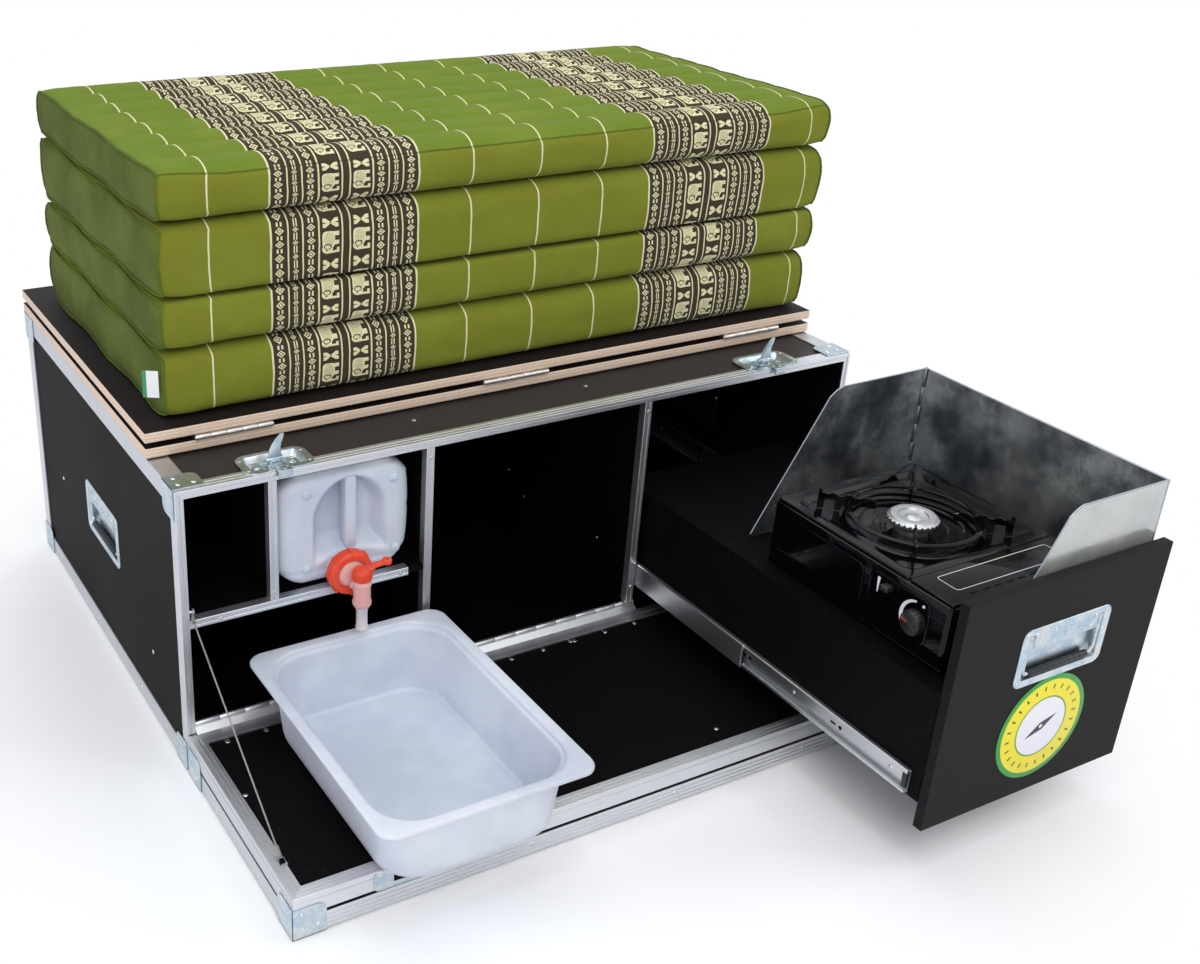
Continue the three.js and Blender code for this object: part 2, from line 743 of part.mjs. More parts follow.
function addDrawer() {
  const front = block(frontLeft, frontRight, -drawerFrontOut, -drawerFrontOut + drawerFrontThickness,
    drawerFrontLow, drawerFrontHigh);
  add('drawer_front', cut(front, place(handleHole(), drawerHandleFrame)), 'film');
  const deckLow = deckTop - panelThickness;
  const wallTop = deckLow - fit;
  const hollow = block(boxLeft + panelThickness, boxRight - panelThickness, boxFront - overrun,
    drawerBoxRear - panelThickness, drawerBoxLow + panelThickness, wallTop + overrun);
  const shell = block(boxLeft, boxRight, boxFront, drawerBoxRear, drawerBoxLow, wallTop);
  add('drawer_box', cut(shell, hollow), 'film');
  add('drawer_deck', block(boxLeft, boxRight, boxFront, drawerBoxRear, deckLow, deckTop), 'film');
  add('drawer_handle_dish', place(handleDish(), drawerHandleFrame), 'zinc');
  add('drawer_handle_bail', place(handleBail(), drawerHandleFrame), 'rubber');
}

// Gas stove
const stoveLeft = frontLeft + stoveInset;
const stoveRight = stoveLeft + stoveDepth;
const burnerX = stoveLeft + stoveDepth / 2;
const stoveBack = stoveFront + stoveLength;
const coverBack = stoveFront + coverEdge + coverLength;
const cartridgeRadius = (coverEdge + coverLength) / 2 - pocketInset - fit;

function addStove() {
  const c = stoveChamfer;
  const shell = prismY([[stoveLeft + c, stoveLow], [stoveRight - c, stoveLow], [stoveRight, stoveLow + c],
    [stoveRight, stoveTop - c], [stoveRight - c, stoveTop], [stoveLeft + c, stoveTop],
    [stoveLeft, stoveTop - c], [stoveLeft, stoveLow + c]], stoveFront, stoveBack);
  const feet = [];
  for (const x of [stoveLeft + footInset, stoveRight - footInset - footSize]) {
    for (const y of [stoveFront + footInset, stoveBack - footInset - footSize]) {
      feet.push(block(x, x + footSize, y, y + footSize, deckTop + fit, stoveLow + c));
    }
  }
  const pocket = block(stoveLeft + pocketInset, stoveRight - pocketInset, stoveFront + pocketInset,
    coverBack - pocketInset, stoveLow + pocketInset, stoveTop + overrun);
  const well = rod([burnerX, burnerY, burnerFloor], [burnerX, burnerY, stoveTop + overrun], panRadius, 24);
  add('stove_body', cut(joined(shell, ...feet), pocket, well), 'enamel');
  const plateLow = stoveTop + fit;
  const plateHigh = plateLow + hobPlate;
  const cover = block(stoveLeft + coverEdge, stoveRight - coverEdge, stoveFront + coverEdge, coverBack,
    plateLow, plateHigh);
  add('cartridge_cover', cover, 'enamel');
  const middleY = (stoveFront + pocketInset + coverBack - pocketInset) / 2;
  const cartridgeZ = stoveLow + pocketInset + fit + cartridgeRadius;
  const cartridgeStart = stoveLeft + stoveDepth / 2 - cartridgeLength / 2;
  add('gas_cartridge', rod([cartridgeStart, middleY, cartridgeZ],
    [cartridgeStart + cartridgeLength, middleY, cartridgeZ], cartridgeRadius, 16), 'steel');
  addHob(plateLow, plateHigh);
  addStoveControls();
}

function addHob(plateLow, plateHigh) {
  const plate = block(stoveLeft + coverEdge, stoveRight - coverEdge,
    coverBack + fit * 2, stoveBack - coverEdge, plateLow, plateHigh);
  const rimRadius = panRadius - panSlope / 8;
  const burnerAt = (z) => [burnerX, burnerY, z];
  const hole = rod(burnerAt(plateLow - overrun), burnerAt(plateHigh + overrun), rimRadius, 32);
  const dishLow = plateHigh - panDepth;
  const floorRadius = rimRadius - panSlope;
  const dish = new THREE.LatheGeometry([
    [burnerHole, dishLow], [floorRadius, dishLow], [rimRadius - panSheet, plateLow],
    [rimRadius + panSheet, plateLow], [rimRadius + panSheet, plateHigh], [rimRadius - panSheet, plateHigh],
    [floorRadius - panSheet, dishLow + panSheet], [burnerHole, dishLow + panSheet], [burnerHole, dishLow],
  ].map(([r, z]) => new THREE.Vector2(r, z)), 32).rotateX(quarterTurn).translate(burnerX, burnerY, 0);
  add('stove_hob', joined(cut(plate, hole), dish), 'enamel');
  const skirtLow = burnerTop - burnerSkirt;
  add('burner', joined(
    rod(burnerAt(burnerFloor + fit), burnerAt(burnerTop - burnerSkirt / 2), burnerStem, 16),
    rod(burnerAt(skirtLow), burnerAt(burnerTop), burnerRadius, 24, burnerRadius - burnerSkirt / 4)), 'steel');
  const low = plateHigh + fit;
  const ringOuter = rod(burnerAt(low), burnerAt(low + supportRingHeight), supportRing, 24);
  const ringInner = rod(burnerAt(low - overrun), burnerAt(low + overrun + supportRingHeight),
    supportRing - supportRingWidth, 24);
  const arms = [1, 3, 5, 7].map((n) => prismY([[supportArmInner, low + supportRingHeight / 2],
    [supportRing - supportRingWidth, low], [supportArmOuter, low], [supportArmOuter, low + supportArmHeight],
    [supportArmOuter - supportArmStep, low + supportArmHeight],
    [supportArmOuter - supportArmStep, low + supportArmHeight - supportArmStep],
    [supportArmInner, low + supportArmHeight - supportArmStep]],
    -supportArmThickness / 2, supportArmThickness / 2)
    .rotateZ(quarterTurn / 2 * n).translate(burnerX, burnerY, 0));
  add('pan_support', joined(cut(ringOuter, ringInner), ...arms), 'enamel');
}

function addStoveControls() {
  const face = stoveLeft - fit;
  const disc = rod([face, knobY, knobZ], [face - knobDepth / 2, knobY, knobZ], knobRadius, 20);
  const grip = block(face - knobDepth, face - knobDepth / 4, knobY - knobGrip / 2, knobY + knobGrip / 2,
    knobZ - knobRadius * knobGripShare, knobZ + knobRadius * knobGripShare);
  add('stove_knob', joined(disc, grip), 'enamel');
  add('stove_lever', block(face - stoveLeverDepth, face, stoveLeverY - stoveLeverWidth / 2,
    stoveLeverY + stoveLeverWidth / 2, stoveLeverZ - stoveLeverHeight / 2,
    stoveLeverZ + stoveLeverHeight / 2), 'enamel');
}

// Windshield: one bent sheet round the back and right, and a hinged left wing.
const shieldLow = deckTop + fit;
const shieldAxisX = frontRight - shieldInset - shieldBarrel / 2;
const shieldAxisY = shieldBack;

function wingOutline(right, topReach, footReach) {
  const slopeTop = shieldTop - wingChamferDrop;
  return [[right, shieldLow], [right, shieldTop], [right - topReach, shieldTop],
    [right - topReach - wingChamferRun, slopeTop], [right - footReach, shieldLow]];
}

function shieldBarrels(odd) {
  const pitch = (shieldTop - shieldLow) / shieldKnuckles;
  const barrels = [];
  for (let i = odd; i < shieldKnuckles; i += 2) {
    const low = shieldLow + pitch * i;
    barrels.push(rod([shieldAxisX, shieldAxisY, low + knuckleGap / 2],
      [shieldAxisX, shieldAxisY, low + pitch - knuckleGap / 2], shieldBarrel, 8));
    const reach = shieldBarrel * 2;
    const half = shieldSheet / 2;
    barrels.push(odd
      ? block(shieldAxisX - reach, shieldAxisX, shieldAxisY - half, shieldAxisY + half,
        low + knuckleGap / 2, low + pitch - knuckleGap / 2)
      : block(shieldAxisX - half, shieldAxisX + half, shieldAxisY - reach, shieldAxisY,
        low + knuckleGap / 2, low + pitch - knuckleGap / 2));
  }
  return barrels;
}

function addWindshield() {
  const half = shieldSheet / 2;
  const clearOfBarrel = shieldBarrel + fit * 2;
  const back = block(shieldAxisX - half, shieldAxisX + half, shieldFront, shieldAxisY - clearOfBarrel,
    shieldLow, shieldTop);
  const rightWing = prismY(wingOutline(shieldAxisX, rightWingTopReach, rightWingFootReach),
    shieldFront, shieldFront + shieldSheet);
  add('windshield_sheet', joined(back, rightWing, ...shieldBarrels(0)), 'galvanised');
  const leftWing = prismY(wingOutline(shieldAxisX - clearOfBarrel, wingTopReach, wingFootReach),
    shieldAxisY - half, shieldAxisY + half);
  add('windshield_wing', joined(leftWing, ...shieldBarrels(1)), 'galvanised');
}

// Flap
const flapFront = -flapLength;
const flapBack = -flapGap;
const flapInnerTop = flapThickness - profileThickness - fit;

function addFlap() {
  const frontIn = flapFront + skin;
  const outer = block(skin, caseWidth - skin, frontIn, flapBack, skin, flapInnerTop);
  const hollow = block(innerWall, caseWidth - innerWall, frontIn + panelThickness, flapBack - panelThickness,
    innerWall, flapInnerTop + overrun);
  add('flap_outer_shell', cut(outer, hollow), 'film');
  const inner = block(innerLeft, innerRight, frontIn + panelThickness + fit, flapBack - panelThickness - fit,
    flapInnerTop - panelThickness, flapInnerTop);
  const lug = block(stayX - anchorRadius, stayX + anchorRadius, stayFlapY - anchorRadius * 2, stayFlapY,
    flapInnerTop - anchorStand, flapThickness + anchorStand);
  add('flap_inner_panel', joined(inner, lug), 'film');
  addFlapEdgeFrame();
  addFlapClosingFrame();
}

function addFlapEdgeFrame() {
  const face = flapFront + profileOut;
  const parts = [prismX(angleSection(face, lowFace, 1, 1, edgeLeg, edgeLeg), leftFace, rightFace)];
  for (const [x, n, side] of [[0, -1, leftFace], [caseWidth, 1, rightFace]]) {
    parts.push(prismY(angleSection(side, lowFace, -n, 1, edgeLeg, edgeLeg), face, flapBack));
    parts.push(cornerFitting(x, flapFront, 0, -n, 1, 1, 'xyz'));
    parts.push(...plateRivets([x, flapFront, 0], [0, 1, 0], [0, 0, 1], [n, 0, 0]));
    parts.push(...plateRivets([x, flapFront, 0], [-n, 0, 0], [0, 0, 1], [0, -1, 0]));
    parts.push(rivet([side, flapFront / 2, edgeLeg / 2], [n, 0, 0], profileThickness / 2));
  }
  for (const share of flapRivetShares) {
    parts.push(rivet([caseWidth * share, face, edgeLeg / 2], [0, -1, 0], profileThickness / 2));
  }
  add('flap_edge_frame', joined(...parts), 'zinc');
}

// The profile that meets the rim when the flap is shut, with the keepers for the latches.
function addFlapClosingFrame() {
  const face = flapFront + profileOut;
  const front = prismX(angleSection(face, flapThickness, 1, -1, rimFace, flapTopLeg), leftFace, rightFace);
  const side = (x, a) => prismY(angleSection(x, flapThickness, a, -1, rimFace, flapTopLeg), face, flapBack);
  const keeperHigh = flapThickness - fit;
  const keepers = latchCentres.map((x) => block(x - keeperLength / 2, x + keeperLength / 2,
    flapFront, face + fit, keeperHigh - keeperHeight, keeperHigh));
  add('flap_closing_frame', joined(front, side(leftFace, 1), side(rightFace, -1), ...keepers), 'aluminium');
}

// The stay is straight between its two screws when the flap is down.
function addStay() {
  const post = new THREE.Vector3(stayX, stayTopY, stayTopZ);
  const foot = new THREE.Vector3(stayX, stayFlapY + stayFerrule, flapThickness + anchorStand);
  const along = foot.clone().sub(post).normalize();
  const top = post.clone().addScaledVector(along, anchorRadius + fit);
  const topEnd = top.clone().addScaledVector(along, stayFerruleLength);
  const footEnd = foot.clone().addScaledVector(along, -stayFerruleLength);
  add('stay_cable', joined(
    rod(topEnd.toArray(), footEnd.toArray(), stayRadius, 8),
    rod(top.toArray(), topEnd.clone().addScaledVector(along, fit).toArray(), stayFerrule, 8),
    rod(footEnd.clone().addScaledVector(along, -fit).toArray(), foot.toArray(), stayFerrule, 8)), 'steel');
}

function addFlapHinge() {
  const hingeEnd = bayLeft + hingeOverBay;
  const pitch = (hingeEnd - hingeStart) / hingeKnuckles;
  const leafLow = sillTop + fit;
  const leafHigh = leafLow + leafThickness;
  const caseParts = [block(hingeStart, hingeEnd, caseLeafStart, caseLeafBack, leafLow, leafHigh)];
  const flapLow = flapInnerTop + fit;
  const flapHigh = flapLow + leafThickness;
  const flapParts = [block(hingeStart, hingeEnd, flapBack - leafDepth, flapBack, flapLow, flapHigh)];
  const armTopY = hingeY - hingeBarrel / 2;
  const armTopZ = hingeZ - hingeBarrel / 2;
  for (let i = 0; i < hingeKnuckles; i += 1) {
    const x0 = hingeStart + pitch * i + knuckleGap / 2;
    const x1 = hingeStart + pitch * (i + 1) - knuckleGap / 2;
    const barrel = rod([x0, hingeY, hingeZ], [x1, hingeY, hingeZ], hingeBarrel, 8);
    if (i % 2 === 0) {
      const riser = block(x0, x1, hingeY - leafThickness / 2, hingeY + leafThickness / 2,
        leafLow + leafThickness / 2, hingeZ);
      caseParts.push(barrel, riser);
    } else {
      const arm = prismX([[flapBack - leafThickness, flapLow], [flapBack, flapLow],
        [armTopY + leafThickness / 2, armTopZ - leafThickness / 2], [armTopY, armTopZ + leafThickness],
        [flapBack - leafThickness, flapHigh]], x0, x1);
      const bore = rod([x0 - fit, hingeY, hingeZ], [x1 + fit, hingeY, hingeZ], hingeBore, 6);
      flapParts.push(cut(joined(barrel, arm), bore));
    }
  }
  caseParts.push(rod([hingeStart, hingeY, hingeZ], [hingeEnd, hingeY, hingeZ], hingePin, 6));
  add('hinge_case_leaf', joined(...caseParts), 'aluminium');
  add('hinge_flap_leaf', joined(...flapParts), 'aluminium');
}

// Washing tub
const tubFloor = flapThickness + fit;
function addTub() {
  const ring = (inset, radius, z) => roundedOutline(tubLeft + inset, tubLeft + tubWidth - inset,
    tubBack - tubDepth + inset, tubBack - inset, radius, 4).map(([x, y]) => [x, y, z]);
  const rim = tubFloor + tubHeight;
  const base = tubFlange + tubTaper;
  add('washing_tub', loft([
    ring(base + tubLip, tubBaseRadius - tubLip, tubFloor),
    ring(base, tubBaseRadius, tubFloor + tubLip),
    ring(tubFlange, tubMouthRadius, rim - tubLip),
    ring(tubWall / 2, tubRimRadius, rim - tubLip),
    ring(0, tubRimRadius, rim - tubLip / 2),
    ring(tubWall / 2, tubRimRadius, rim),
    ring(tubFlange + tubWall, tubMouthRadius - tubWall, rim),
    ring(base + tubWall, tubBaseRadius - tubWall, tubFloor + tubLip + tubWall),
    ring(base + tubWall + tubLip, tubBaseRadius - tubWall - tubLip, tubFloor + tubWall),
  ]), 'milky');
}

// Canister and tap
const canisterLow = shelfTrimTop + fit;
const canisterX = canisterLeft + canisterWidth / 2;
const neckZ = canisterLow + neckHeight;
const barrelX = canisterX + barrelShift;
const capBack = canisterFront - neckReach - fit;

function addCanister() {
  const ring = (inset, y) => roundedOutline(canisterLeft + inset, canisterLeft + canisterWidth - inset,
    canisterLow + inset, canisterLow + canisterHeight - inset, canisterRadius - inset / 2, 4)
    .map(([x, z]) => [x, y, z]).reverse();
  const back = canisterFront + canisterDepth;
  const shell = loft([ring(canisterEase, canisterFront),
    ring(canisterEase / 4, canisterFront + canisterEase / 3),
    ring(0, canisterFront + canisterEase), ring(0, back - canisterEase),
    ring(canisterEase / 4, back - canisterEase / 3), ring(canisterEase, back)]);
  const recess = block(canisterX - gripRecessWidth / 2, canisterX + gripRecessWidth / 2,
    canisterFront - overrun, canisterFront + gripRecessDepth, canisterLow + gripRecessLow,
    canisterLow + gripRecessHigh);
  const grip = block(canisterX - canisterGripWidth / 2, canisterX + canisterGripWidth / 2,
    canisterFront, canisterFront + canisterGripDepth,
    canisterLow + gripRecessLow - overrun, canisterLow + gripRecessHigh + overrun);
  const neck = rod([canisterX, canisterFront + canisterEase, neckZ],
    [canisterX, canisterFront - neckReach, neckZ], neckRadius, 20);
  add('water_canister', joined(cut(shell, recess), grip, neck), 'milky');
}

function addTap() {
  const capFront = capBack - capDepth;
  const parts = [rod([canisterX, capBack, neckZ], [canisterX, capFront, neckZ], capRadius - capRibDepth, 24)];
  for (let i = 0; i < capRibs; i += 1) {
    const rib = block(-leverWidth / 2, leverWidth / 2, capFront + capRibDepth, capBack,
      capRadius / 2, capRadius);
    parts.push(rib.rotateY(fullTurn * i / capRibs).translate(canisterX, 0, neckZ));
  }
  add('canister_cap', joined(...parts), 'red');
  const stub = rod([barrelX, capFront - fit, (barrelLow + barrelHigh) / 2],
    [barrelX, -barrelOut, (barrelLow + barrelHigh) / 2], stubRadius, 12);
  const barrel = rod([barrelX, -barrelOut, barrelLow], [barrelX, -barrelOut, barrelHigh],
    barrelRadius, 16);
  const tapAt = (z) => [barrelX, -barrelOut, z];
  const spout = rod(tapAt(spoutLow), tapAt(barrelLow + overrun), spoutRadius, 12);
  const bore = rod(tapAt(spoutLow - overrun), tapAt(barrelLow), spoutRadius - trayWall, 12);
  add('tap_barrel', cut(joined(stub, barrel, spout), bore), 'rose');
  const headLow = barrelHigh + fit;
  const head = rod(tapAt(headLow), tapAt(headLow + tapHeadHeight), tapHeadRadius, 16);
  const armHigh = headLow + tapHeadHeight;
  const arm = block(barrelX, barrelX + leverLength, -barrelOut - leverWidth / 2, -barrelOut + leverWidth / 2,
    armHigh - leverThickness, armHigh);
  const knob = rod([barrelX + leverLength, -barrelOut, armHigh - leverThickness],
    [barrelX + leverLength, -barrelOut, armHigh], leverEnd, 12);
  add('tap_lever', joined(head, arm, knob), 'red');
}

// Bed boards
const lowerBoardLow = caseHeight + fit;
const lowerBoardHigh = lowerBoardLow + boardThickness;
const upperBoardLow = lowerBoardHigh + boardGap;
const upperBoardHigh = upperBoardLow + boardThickness;
const boardAxisY = boardFront - boardAxisOut;
const boardAxisZ = (lowerBoardHigh + upperBoardLow) / 2;

// The two leaves of each hinge are screwed flat to their boards; the pin stays in the lower one.
function boardHinge(start) {
  const pitch = boardHingeLength / boardKnuckles;
  const end = start + boardHingeLength;
  const leafFront = boardAxisY + boardBarrel + fit * 2;
  const leafBack = leafFront + boardLeafDepth;
  const lower = [block(start, end, leafFront, leafBack, lowerBoardHigh - fit, lowerBoardHigh + boardLeaf)];
  const upper = [block(start, end, leafFront, leafBack, upperBoardLow - boardLeaf, upperBoardLow + fit)];
  for (let i = 0; i < boardKnuckles; i += 1) {
    const x0 = start + pitch * i + knuckleGap / 2;
    const x1 = start + pitch * (i + 1) - knuckleGap / 2;
    const barrel = rod([x0, boardAxisY, boardAxisZ], [x1, boardAxisY, boardAxisZ], boardBarrel, 8);
    const tab = (z0, z1) => block(x0, x1, boardAxisY, leafFront + fit, z0, z1);
    if (i % 2 === 0) {
      lower.push(barrel, tab(lowerBoardHigh + fit, lowerBoardHigh + boardLeaf));
    } else {
      const bore = rod([x0 - fit, boardAxisY, boardAxisZ], [x1 + fit, boardAxisY, boardAxisZ], boardBore, 6);
      upper.push(cut(joined(barrel, tab(upperBoardLow - boardLeaf, upperBoardLow - fit)), bore));
    }
  }
  lower.push(rod([start, boardAxisY, boardAxisZ], [end, boardAxisY, boardAxisZ], boardPin, 6));
  return { lower, upper };
}

function addBoards() {
  const hinges = [boardHingeInset, caseWidth / 2, caseWidth - boardHingeInset].map((middle) => boardHinge(
    middle - boardHingeLength / 2));
  add('lower_bed_board', joined(block(0, caseWidth, boardFront, caseDepth, lowerBoardLow, lowerBoardHigh),
    ...hinges.flatMap((hinge) => hinge.lower)), 'birch');
  add('upper_bed_board', joined(block(0, caseWidth, boardFront, caseDepth, upperBoardLow, upperBoardHigh),
    ...hinges.flatMap((hinge) => hinge.upper)), 'birch');
}

// Mattress: four stuffed segments, counted from the top, each a row of sewn channels along X.

// Outline of one segment across its depth: channels above and below, swelling front and back.
function segmentOutline(low, height, inset) {
  const pitch = (mattressDepth - sideBulge * 2) / channels;
  const yStart = mattressFront + sideBulge;
  const crest = 1 / (channels * 2);
  const surface = (share) => Math.abs(Math.sin(
    Math.PI * Math.min(Math.max(share, crest), 1 - crest) * channels)) ** channelPower;
  const bottom = [];
  const top = [];
  for (let i = 0; i <= channels * channelSteps; i += 1) {
    const share = i / (channels * channelSteps);
    const y = yStart + pitch * channels * share;
    const rise = channelRise * (1 - surface(share));
    const shoulder = edgeDrop(share);
    bottom.push([y, low + rise + shoulder]);
    top.push([y, low + height - rise - shoulder]);
  }
  const side = (y, out) => sideShares.map((share) => [
    y + out * sideBulge * Math.sin(Math.PI * share), low + height * share]);
  const points = [...bottom, ...side(yStart + pitch * channels, 1), ...top.reverse(),
    ...side(yStart, -1).reverse()];
  const cy = mattressFront + mattressDepth / 2;
  const cz = low + height / 2;
  return points.map(([y, z]) => [cy + (y - cy) * (1 - inset * 2 / mattressDepth),
    cz + (z - cz) * (1 - inset * 2 / height)]);
}

// The first and last channel round down towards the front and back edges.
function edgeDrop(share) {
  const reach = edgeRound / mattressDepth;
  const near = Math.min(share, 1 - share);
  return near >= reach ? 0 : edgeRound / 3 * (1 - near / reach) ** 2;
}

const mattressLow = upperBoardHigh + fit;
const mattressLength = caseWidth - mattressShort;
function mattressSegment(level) {
  const height = segmentHeights[level];
  const below = segmentHeights.slice(0, level).reduce((sum, value) => sum + value + segmentGap, 0);
  const low = mattressLow + below;
  const stations = endCrownShares.map(([along, inward]) => [endCrown * along, endInset * inward]);
  const half = stations.map(([x, inset]) => [mattressLeft + x, inset]);
  const other = stations.slice().reverse().map(([x, inset]) => [
    mattressLeft + mattressLength - x, inset]);
  const rings = [...half, ...other].map(([x, inset]) => segmentOutline(low, height, inset)
    .map(([y, z]) => [x, y, z]));
  return loft(rings);
}

function addMattress() {
  for (let level = 0; level < segmentHeights.length; level += 1) {
    add(`mattress_segment_${segmentHeights.length - level}`, mattressSegment(level), 'cotton');
  }
}

addPanels();
addFrontFrame();
addEdgeFrames();
addCaseHandles();
addLatches();
addInterior();
addRails();
addFlap();
addFlapHinge();
addStay();
addTub();
addCanister();
addTap();
addDrawer();
addStove();
addWindshield();
addBoards();
addMattress();

// The origin goes to the middle of the footprint, on the ground.
const bounds = new THREE.Box3().setFromObject(box);
const middle = bounds.getCenter(new THREE.Vector3());
box.position.set(-middle.x, -middle.y, -bounds.min.z);

export default box;
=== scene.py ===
"""Looks of the camping box: a plywood flight case with a folded mattress, a tub, a canister and a stove drawer.

Lengths are millimetres from the case's front left corner on the ground, as in the CAD source, unless a
name says otherwise. Solid.piece() turns them into metres in the CAD frame.
"""

import logging
import math
from contextlib import contextmanager
from dataclasses import dataclass, field
from enum import Enum
from typing import Callable, Iterable, Iterator, Optional, Sequence, Union

import bmesh
import bpy
from mathutils import Matrix, Vector, noise


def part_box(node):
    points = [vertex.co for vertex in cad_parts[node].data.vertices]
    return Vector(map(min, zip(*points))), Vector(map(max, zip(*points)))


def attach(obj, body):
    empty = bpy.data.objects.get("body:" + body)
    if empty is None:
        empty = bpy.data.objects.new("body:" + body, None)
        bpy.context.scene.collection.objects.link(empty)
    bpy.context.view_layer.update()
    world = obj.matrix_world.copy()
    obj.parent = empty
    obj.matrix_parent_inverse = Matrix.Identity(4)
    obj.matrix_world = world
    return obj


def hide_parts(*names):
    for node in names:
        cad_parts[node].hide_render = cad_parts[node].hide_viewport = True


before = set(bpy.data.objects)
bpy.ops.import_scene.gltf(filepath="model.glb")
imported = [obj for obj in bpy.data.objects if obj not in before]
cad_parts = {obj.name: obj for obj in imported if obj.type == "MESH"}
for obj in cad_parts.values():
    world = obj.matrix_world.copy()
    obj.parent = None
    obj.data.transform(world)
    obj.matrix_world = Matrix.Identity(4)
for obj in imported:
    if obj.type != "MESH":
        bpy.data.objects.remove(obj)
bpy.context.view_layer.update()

log = logging.getLogger("camping_box")

Point = Sequence[float]
Colour = tuple[float, float, float]

ORIGIN = Vector((603.2, 63.5, 0.0))
SCALE = 0.001
WIDTH = 1200.0
DEPTH = 767.0
HEIGHT = 462.0
INSET = 1.8
FLAP_FRONT = -375.0
LATCHES = (160.0, 1040.0)


def paint(code: str) -> Colour:
    """Turns a hex colour into linear values.

    Args:
        code: Six hex digits.

    Returns:
        Linear red, green and blue.
    """
    parts = [int(code[i : i + 2], 16) / 255 for i in (0, 2, 4)]
    red, green, blue = [c / 12.92 if c <= 0.04045 else ((c + 0.055) / 1.055) ** 2.4 for c in parts]
    return (red, green, blue)


def toned(colour: Colour, share: float) -> Colour:
    """A colour made darker or lighter."""
    return tuple(c * share for c in colour)


class Axis(Enum):
    """An axis of the case."""

    X = 0
    Y = 1
    Z = 2


# Shaping


def rounded(lo: Point, hi: Point, radius: float, steps: int = 4) -> list[tuple[float, float]]:
    """Outlines a rectangle with round corners.

    Args:
        lo: Lowest corner.
        hi: Highest corner.
        radius: Corner radius.
        steps: Segments in each corner.

    Returns:
        Points round the outline.
    """
    points = []
    for n, (x, y) in enumerate(
        ((hi[0] - radius, hi[1] - radius), (lo[0] + radius, hi[1] - radius),
         (lo[0] + radius, lo[1] + radius), (hi[0] - radius, lo[1] + radius))
    ):
        for i in range(steps + 1):
            turn = math.pi / 2 * (n + i / steps)
            points.append((x + radius * math.cos(turn), y + radius * math.sin(turn)))
    return points


def arc(centre: Point, radius: float, start: float, stop: float, steps: int) -> list[tuple[float, float]]:
    """Points on an arc between two angles in degrees.

    Args:
        centre: Centre of the arc.
        radius: Its radius.
        start: First angle.
        stop: Last angle.
        steps: Segments between them.

    Returns:
        Points along the arc.
    """
    turns = [math.radians(start + (stop - start) * i / steps) for i in range(steps + 1)]
    return [(centre[0] + radius * math.cos(t), centre[1] + radius * math.sin(t)) for t in turns]


def ring_at(outline: Iterable[Point], height: float, wide: float = 1.0, deep: float = 1.0) -> list[Point]:
    """Puts an outline at a height, scaled about zero.

    Args:
        outline: Points in X and Y.
        height: Their Z.
        wide: Scale along X.
        deep: Scale along Y.

    Returns:
        The ring.
    """
    return [(u * wide, v * deep, height) for u, v in outline]


def spot(x: float, y: float, z: float) -> Matrix:
    """Frame of the case moved to a point."""
    return Matrix.Translation(Vector((x, y, z)))


def add(name: str, data: bpy.types.ID) -> bpy.types.Object:
    """Makes an object and puts it in the scene.

    Args:
        name: Its name.
        data: Its mesh, lamp or camera.

    Returns:
        The object.
    """
    made = bpy.data.objects.new(name, data)
    bpy.context.scene.collection.objects.link(made)
    return made


